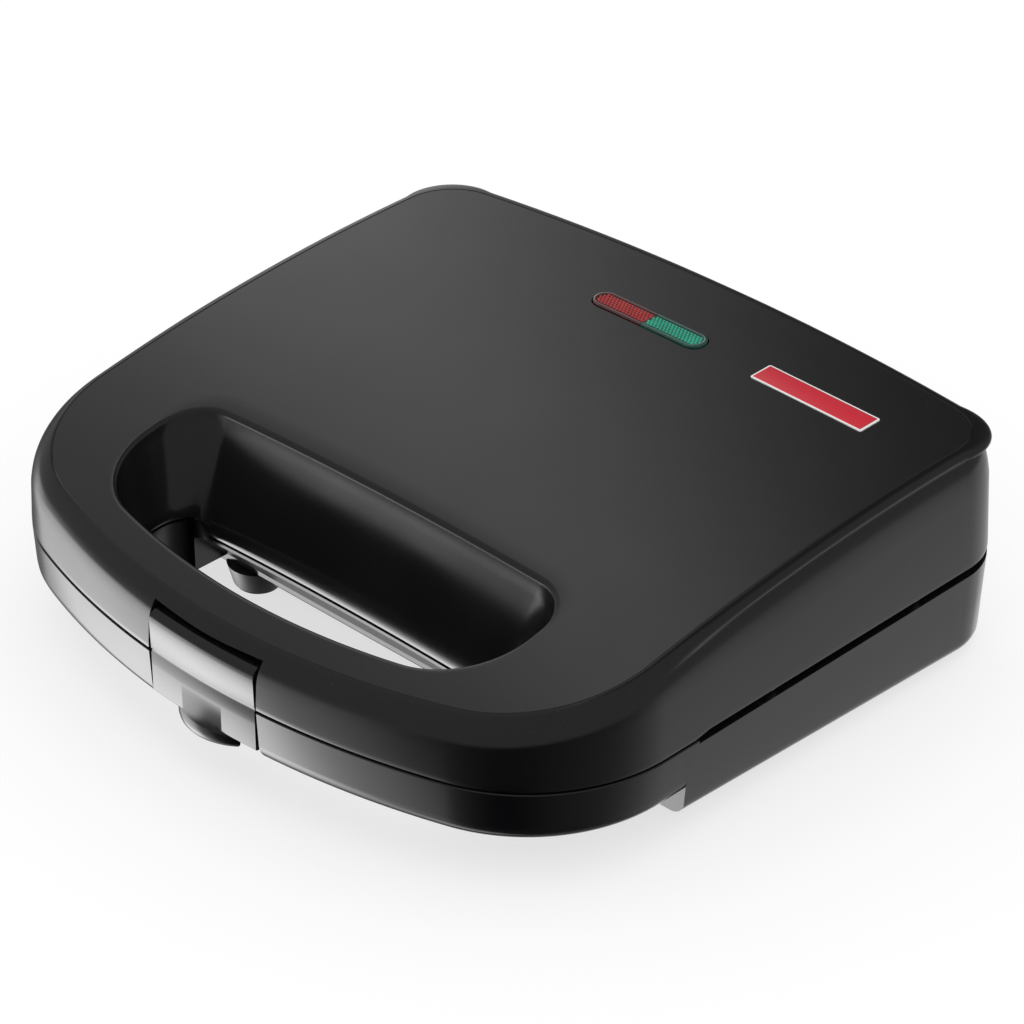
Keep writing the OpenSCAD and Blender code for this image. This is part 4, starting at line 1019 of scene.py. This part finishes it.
# %% Metals
def metal(name, colour, roughness, fine, long, stain_colour, stain_to, span):
    made = Finish(name, colour, roughness, metallic=1.0, bump=0.12, reach=0.00006)
    drawn = made.use(lines, Fine=fine, Long=long)
    made.relief(drawn["Streak"])
    made.tint(drawn["Stain"], stain_colour, (0.4, 0.65, 0, stain_to))
    made.gloss(drawn["Streak"], roughness - span, roughness + span)
    return made


zinc = metal("zinc_plated_steel", (0.52, 0.53, 0.55), 0.34, 5200.0, 240.0, (0.55, 0.5, 0.38, 1), 0.5, 0.08)
zinc.on(*[soft[n] for n in ("lid_hinge_arms", "hinge_pins", "upper_case_screws", "lower_case_screws")])
sheet = metal("rolled_aluminium", (0.74, 0.74, 0.75), 0.3, 6000.0, 90.0, (0.6, 0.6, 0.62, 1), 0.5, 0.1)
heat = metal("heat_tinted_steel", (0.36, 0.32, 0.28), 0.45, 3000.0, 400.0, (0.2, 0.19, 0.26, 1), 0.9, 0.1)
tinned = metal("tinned_metal", (0.7, 0.7, 0.68), 0.38, 3500.0, 300.0, (0.5, 0.49, 0.46, 1), 0.5, 0.08)

# %% [markdown]
# The last inner parts: white nylon for the lamp holder and terminal block, unglazed ceramic for
# the thermostat, woven glass sleeve on the wires and the thin glass of the lamps.

# %% Inner parts
nylon = Finish("natural_nylon", (0.78, 0.76, 0.69), 0.45, bump=0.2, reach=0.0001)
nylon_tone = nylon.moulded(2400.0, 110.0, 0.4, 0.55)
nylon.tint(nylon_tone, (0.68, 0.63, 0.52, 1), (0.5, 0.8, 0, 0.5))

ceramic = Finish("unglazed_ceramic", (0.74, 0.71, 0.63), 0.82, bump=0.5, reach=0.00015)
ceramic.moulded(2000.0, 260.0, 0.75, 0.9)
ceramic.speckle(1500.0, 0.16, 0.06, 0.7, (0.35, 0.3, 0.25, 1))

sleeve = Finish("woven_glass_sleeve", (0.72, 0.7, 0.62), 0.7, bump=0.8, reach=0.0002)
at = object_place(sleeve.tree)
strands = [node(sleeve.tree, "ShaderNodeTexWave", {"bands_direction": "DIAGONAL"}, Scale=650.0,
                Vector=node(sleeve.tree, "ShaderNodeMapping", Vector=at, Rotation=turn).outputs[0])
           for turn in ((0, 0, 0), (0, 0, math.pi / 2))]
weave = times(sleeve.tree, strands[0].outputs["Fac"], strands[1].outputs["Fac"])
sleeve.relief(weave)
sleeve.tint(weave, (0.4, 0.38, 0.32, 1), (0.5, 0.0, 0, 0.6))

lamp_glass = Finish("lamp_glass", (0.95, 0.8, 0.7), 0.05, bump=0.1, reach=0.0001, Transmission_Weight=1.0,
                    IOR=1.5)
lamp_glass.relief(lamp_glass.use(grain, Peel=700.0, Wave=200.0)["Height"])

for finish, names in ((sheet, ("upper_reflector", "lower_reflector")),
                      (heat, ("upper_heater", "lower_heater")),
                      (zinc, ("upper_plate_screws", "lower_plate_screws", "latch_pin")),
                      (tinned, ("thermal_fuse",)), (nylon, ("lamp_holder", "terminal_block")),
                      (ceramic, ("thermostat",)), (sleeve, ("upper_wiring", "lower_wiring")),
                      (lamp_glass, ("neon_lamps",))):
    finish.on(*[soft.get(name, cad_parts[name]) for name in names])

# %% [markdown]
# The lenses are clear tinted plastic over a dark chamber, but are drawn opaque. Their hue is the
# plastic's own tint; the rim's near-black is painted shade of the chamber under it, and the
# prisms' bright colour in the lamp's hue is painted light that they catch. The rim and the prisms
# therefore have two finishes of one hue, a shaded and a lit copy. Coat gives both a wet gloss.

# %% Lenses
def tinted(name, colour, roughness, bright):
    made = Finish(name, colour, roughness, bump=0.1, reach=0.0001, Coat_Weight=1.0, Coat_Roughness=0.05)
    tone = made.moulded(500.0, 150.0, roughness - 0.03, roughness + 0.05)
    made.tint(tone, (*bright, 1), (0.4, 0.7, 0, 0.5))
    return made


# Rim colours are painted shade of the dark chamber; prism colours are painted light on the prisms.
tinted("red_lens_rim_painted_shade", (0.045, 0.004, 0.004), 0.12, (0.07, 0.006, 0.006)).on(lens_red)
tinted("red_prisms_painted_light", (0.42, 0.012, 0.014), 0.18, (0.62, 0.03, 0.03)).on(prisms_red)
tinted("green_lens_rim_painted_shade", (0.002, 0.05, 0.035), 0.12, (0.003, 0.07, 0.05)).on(lens_green)
tinted("green_prisms_painted_light", (0.004, 0.36, 0.22), 0.18, (0.02, 0.55, 0.36)).on(prisms_green)

# %% [markdown]
# The label's pale border is a mask from its own coordinates: how far a point lies inside the
# outline. The print has a faint dot screen, and the plate's varnish has its own gloss.

# %% Label
BORDER = 0.55
BORDER_BLUR = 0.06
print_red = Finish("printed_label", (0.56, 0.012, 0.03), 0.42, bump=0.06, reach=0.00006, Coat_Weight=0.05,
                   Specular_IOR_Level=0.3)
tree = print_red.tree
centred = node(tree, "ShaderNodeMapping", Vector=object_place(tree),
               Location=(-LABEL_X * MM, -LABEL_Y * MM, 0))
axes = node(tree, "ShaderNodeSeparateXYZ", Vector=centred.outputs[0])
inside = [math_node(tree, "SUBTRACT", half * MM, math_node(tree, "ABSOLUTE", axes.outputs[axis]))
          for axis, half in (("X", LABEL_L / 2), ("Y", LABEL_W / 2))]
margin = math_node(tree, "MINIMUM", *inside)
screen = node(tree, "ShaderNodeTexVoronoi", Vector=centred.outputs[0], Scale=4200.0, Randomness=0.0)
print_red.tint(screen.outputs["Distance"], (0.6, 0.016, 0.035, 1), (0.25, 0.5, 0, 0.25))
edge_of_border = ((BORDER + BORDER_BLUR) * MM, (BORDER - BORDER_BLUR) * MM, 0, 1)
print_red.tint(margin, (0.82, 0.82, 0.81, 1), edge_of_border)
print_red.moulded(900.0, 120.0, 0.38, 0.48)
print_red.on(label)

# %% [markdown]
# A glossy black object is drawn by what it mirrors, so the studio matters more than the lamps.
# The room is plain white for the camera and an even soft light for everything matt. For mirror
# rays only, it is divided like a real product set: bright cards low at the left front, which
# light the handle's left side, a dark flag low at the right front, an even pale table at the
# rear, and above, a big soft screen at the left rear that fades out towards the rear. The
# directions are given as an angle round the object, 0 at the handle, 90 at its right side. Low
# rays that fall steeply see the cards brighter and then, right under the toaster, a dark table.

# %% Studio
LOW = [(-180, 0.75), (-140, 0.6), (-112, 0.15), (-99, 0.4), (-86, 2.2), (-76, 2.9), (-62, 4.2),
       (-48, 4.6), (-40, 3.4), (-34, 1.9), (-28, 1.25), (-18, 0.8), (-9, 0.25), (-2, 0.07), (80, 0.07),
       (100, 0.2), (118, 0.46), (136, 0.75), (180, 0.75)]
HIGH = [(-180, 0.3), (-160, 0.09), (-147, 0.07), (-143, 0.15), (-140, 0.29), (-137.5, 0.44), (-135, 0.62),
        (-132, 0.86), (-129, 1.0), (-125, 1.0), (-121, 0.85), (-117, 0.6), (-108, 0.45), (-60, 0.4),
        (0, 0.35), (60, 0.35), (120, 0.35), (180, 0.3)]
PEAK = 5.0

world = bpy.data.worlds.new("studio")
bpy.context.scene.world = world
world.use_nodes = True
world.cycles.sampling_method = "NONE"
tree = world.node_tree
tree.nodes.clear()
direction = tree.nodes.new("ShaderNodeTexCoord").outputs["Generated"]
way = node(tree, "ShaderNodeSeparateXYZ", Vector=direction)
forward = times(tree, way.outputs["Y"], -1.0)
round_angle = math_node(tree, "ARCTAN2", way.outputs["X"], forward)
turn_share = math_node(tree, "ADD", math_node(tree, "DIVIDE", round_angle, 2 * math.pi), 0.5)


def studio_band(levels):
    """Brightness round the object, from a list of (angle, level)."""
    curve = tree.nodes.new("ShaderNodeFloatCurve")
    points = curve.mapping.curves[0].points
    stops = [((angle + 180) / 360, level / PEAK) for angle, level in levels]
    points[0].location = stops[0]
    points[1].location = stops[-1]
    for stop in stops[1:-1]:
        points.new(*stop)
    curve.mapping.update()
    tree.links.new(turn_share, curve.inputs["Value"])
    return times(tree, curve.outputs["Value"], PEAK)


low_band = studio_band(LOW)
side_share = ramp_node(tree, turn_share, (0.62, 0.74, 1.5, 0.9))
steeper = ramp_node(tree, way.outputs["Z"], (-0.50, -0.62, 1, side_share))
floor_dark = ramp_node(tree, way.outputs["Z"], (-0.72, -0.9, 1, 0.25))
low_band = times(tree, times(tree, low_band, steeper), floor_dark)
high_share = ramp_node(tree, way.outputs["Z"], (-0.12, 0.12, 0, 1))
mirrored = mix_node(tree, "FLOAT", high_share, low_band, studio_band(HIGH))
rays = tree.nodes.new("ShaderNodeLightPath").outputs
ROOM = 1.0
seen = mix_node(tree, "FLOAT", rays["Is Glossy Ray"], ROOM, mirrored)
shown = math_node(tree, "MAXIMUM", rays["Is Camera Ray"], rays["Is Transmission Ray"])
total = mix_node(tree, "FLOAT", shown, seen, 1.0)
background = node(tree, "ShaderNodeBackground", Color=(1, 1, 1, 1), Strength=total)
output = tree.nodes.new("ShaderNodeOutputWorld")
tree.links.new(background.outputs[0], output.inputs[0])
print("studio levels:", len(LOW), "low,", len(HIGH), "high")

# %% [markdown]
# The floor is a plain pale sheet that fades into the white room. Part of its brightness is its
# own glow, as on a light table, so the contact shadow stays faint. Mirror rays pass it and see
# the studio's own table instead.

# %% Floor
FLOOR_SIZE = 6
FLOOR_GREY = 0.34
FLOOR_GLOW = 0.68
bpy.ops.mesh.primitive_plane_add(size=FLOOR_SIZE, location=(0, 0, 0))
floor = bpy.context.object
floor.name = "floor"
floor.visible_glossy = False
paper = Finish("pale_paper", [FLOOR_GREY] * 3, 0.9, bump=0.02, reach=0.0002, Specular_IOR_Level=0.0)
paper.relief(paper.use(grain, Peel=800.0, Wave=30.0)["Height"])
paper.shader.inputs["Emission Color"].default_value = (1, 1, 1, 1)
paper.shader.inputs["Emission Strength"].default_value = FLOOR_GLOW
paper.on(floor)

# %% [markdown]
# Last, the picture is set to plain colours.

# %% Picture
scene = bpy.context.scene
scene.view_settings.view_transform = "Standard"
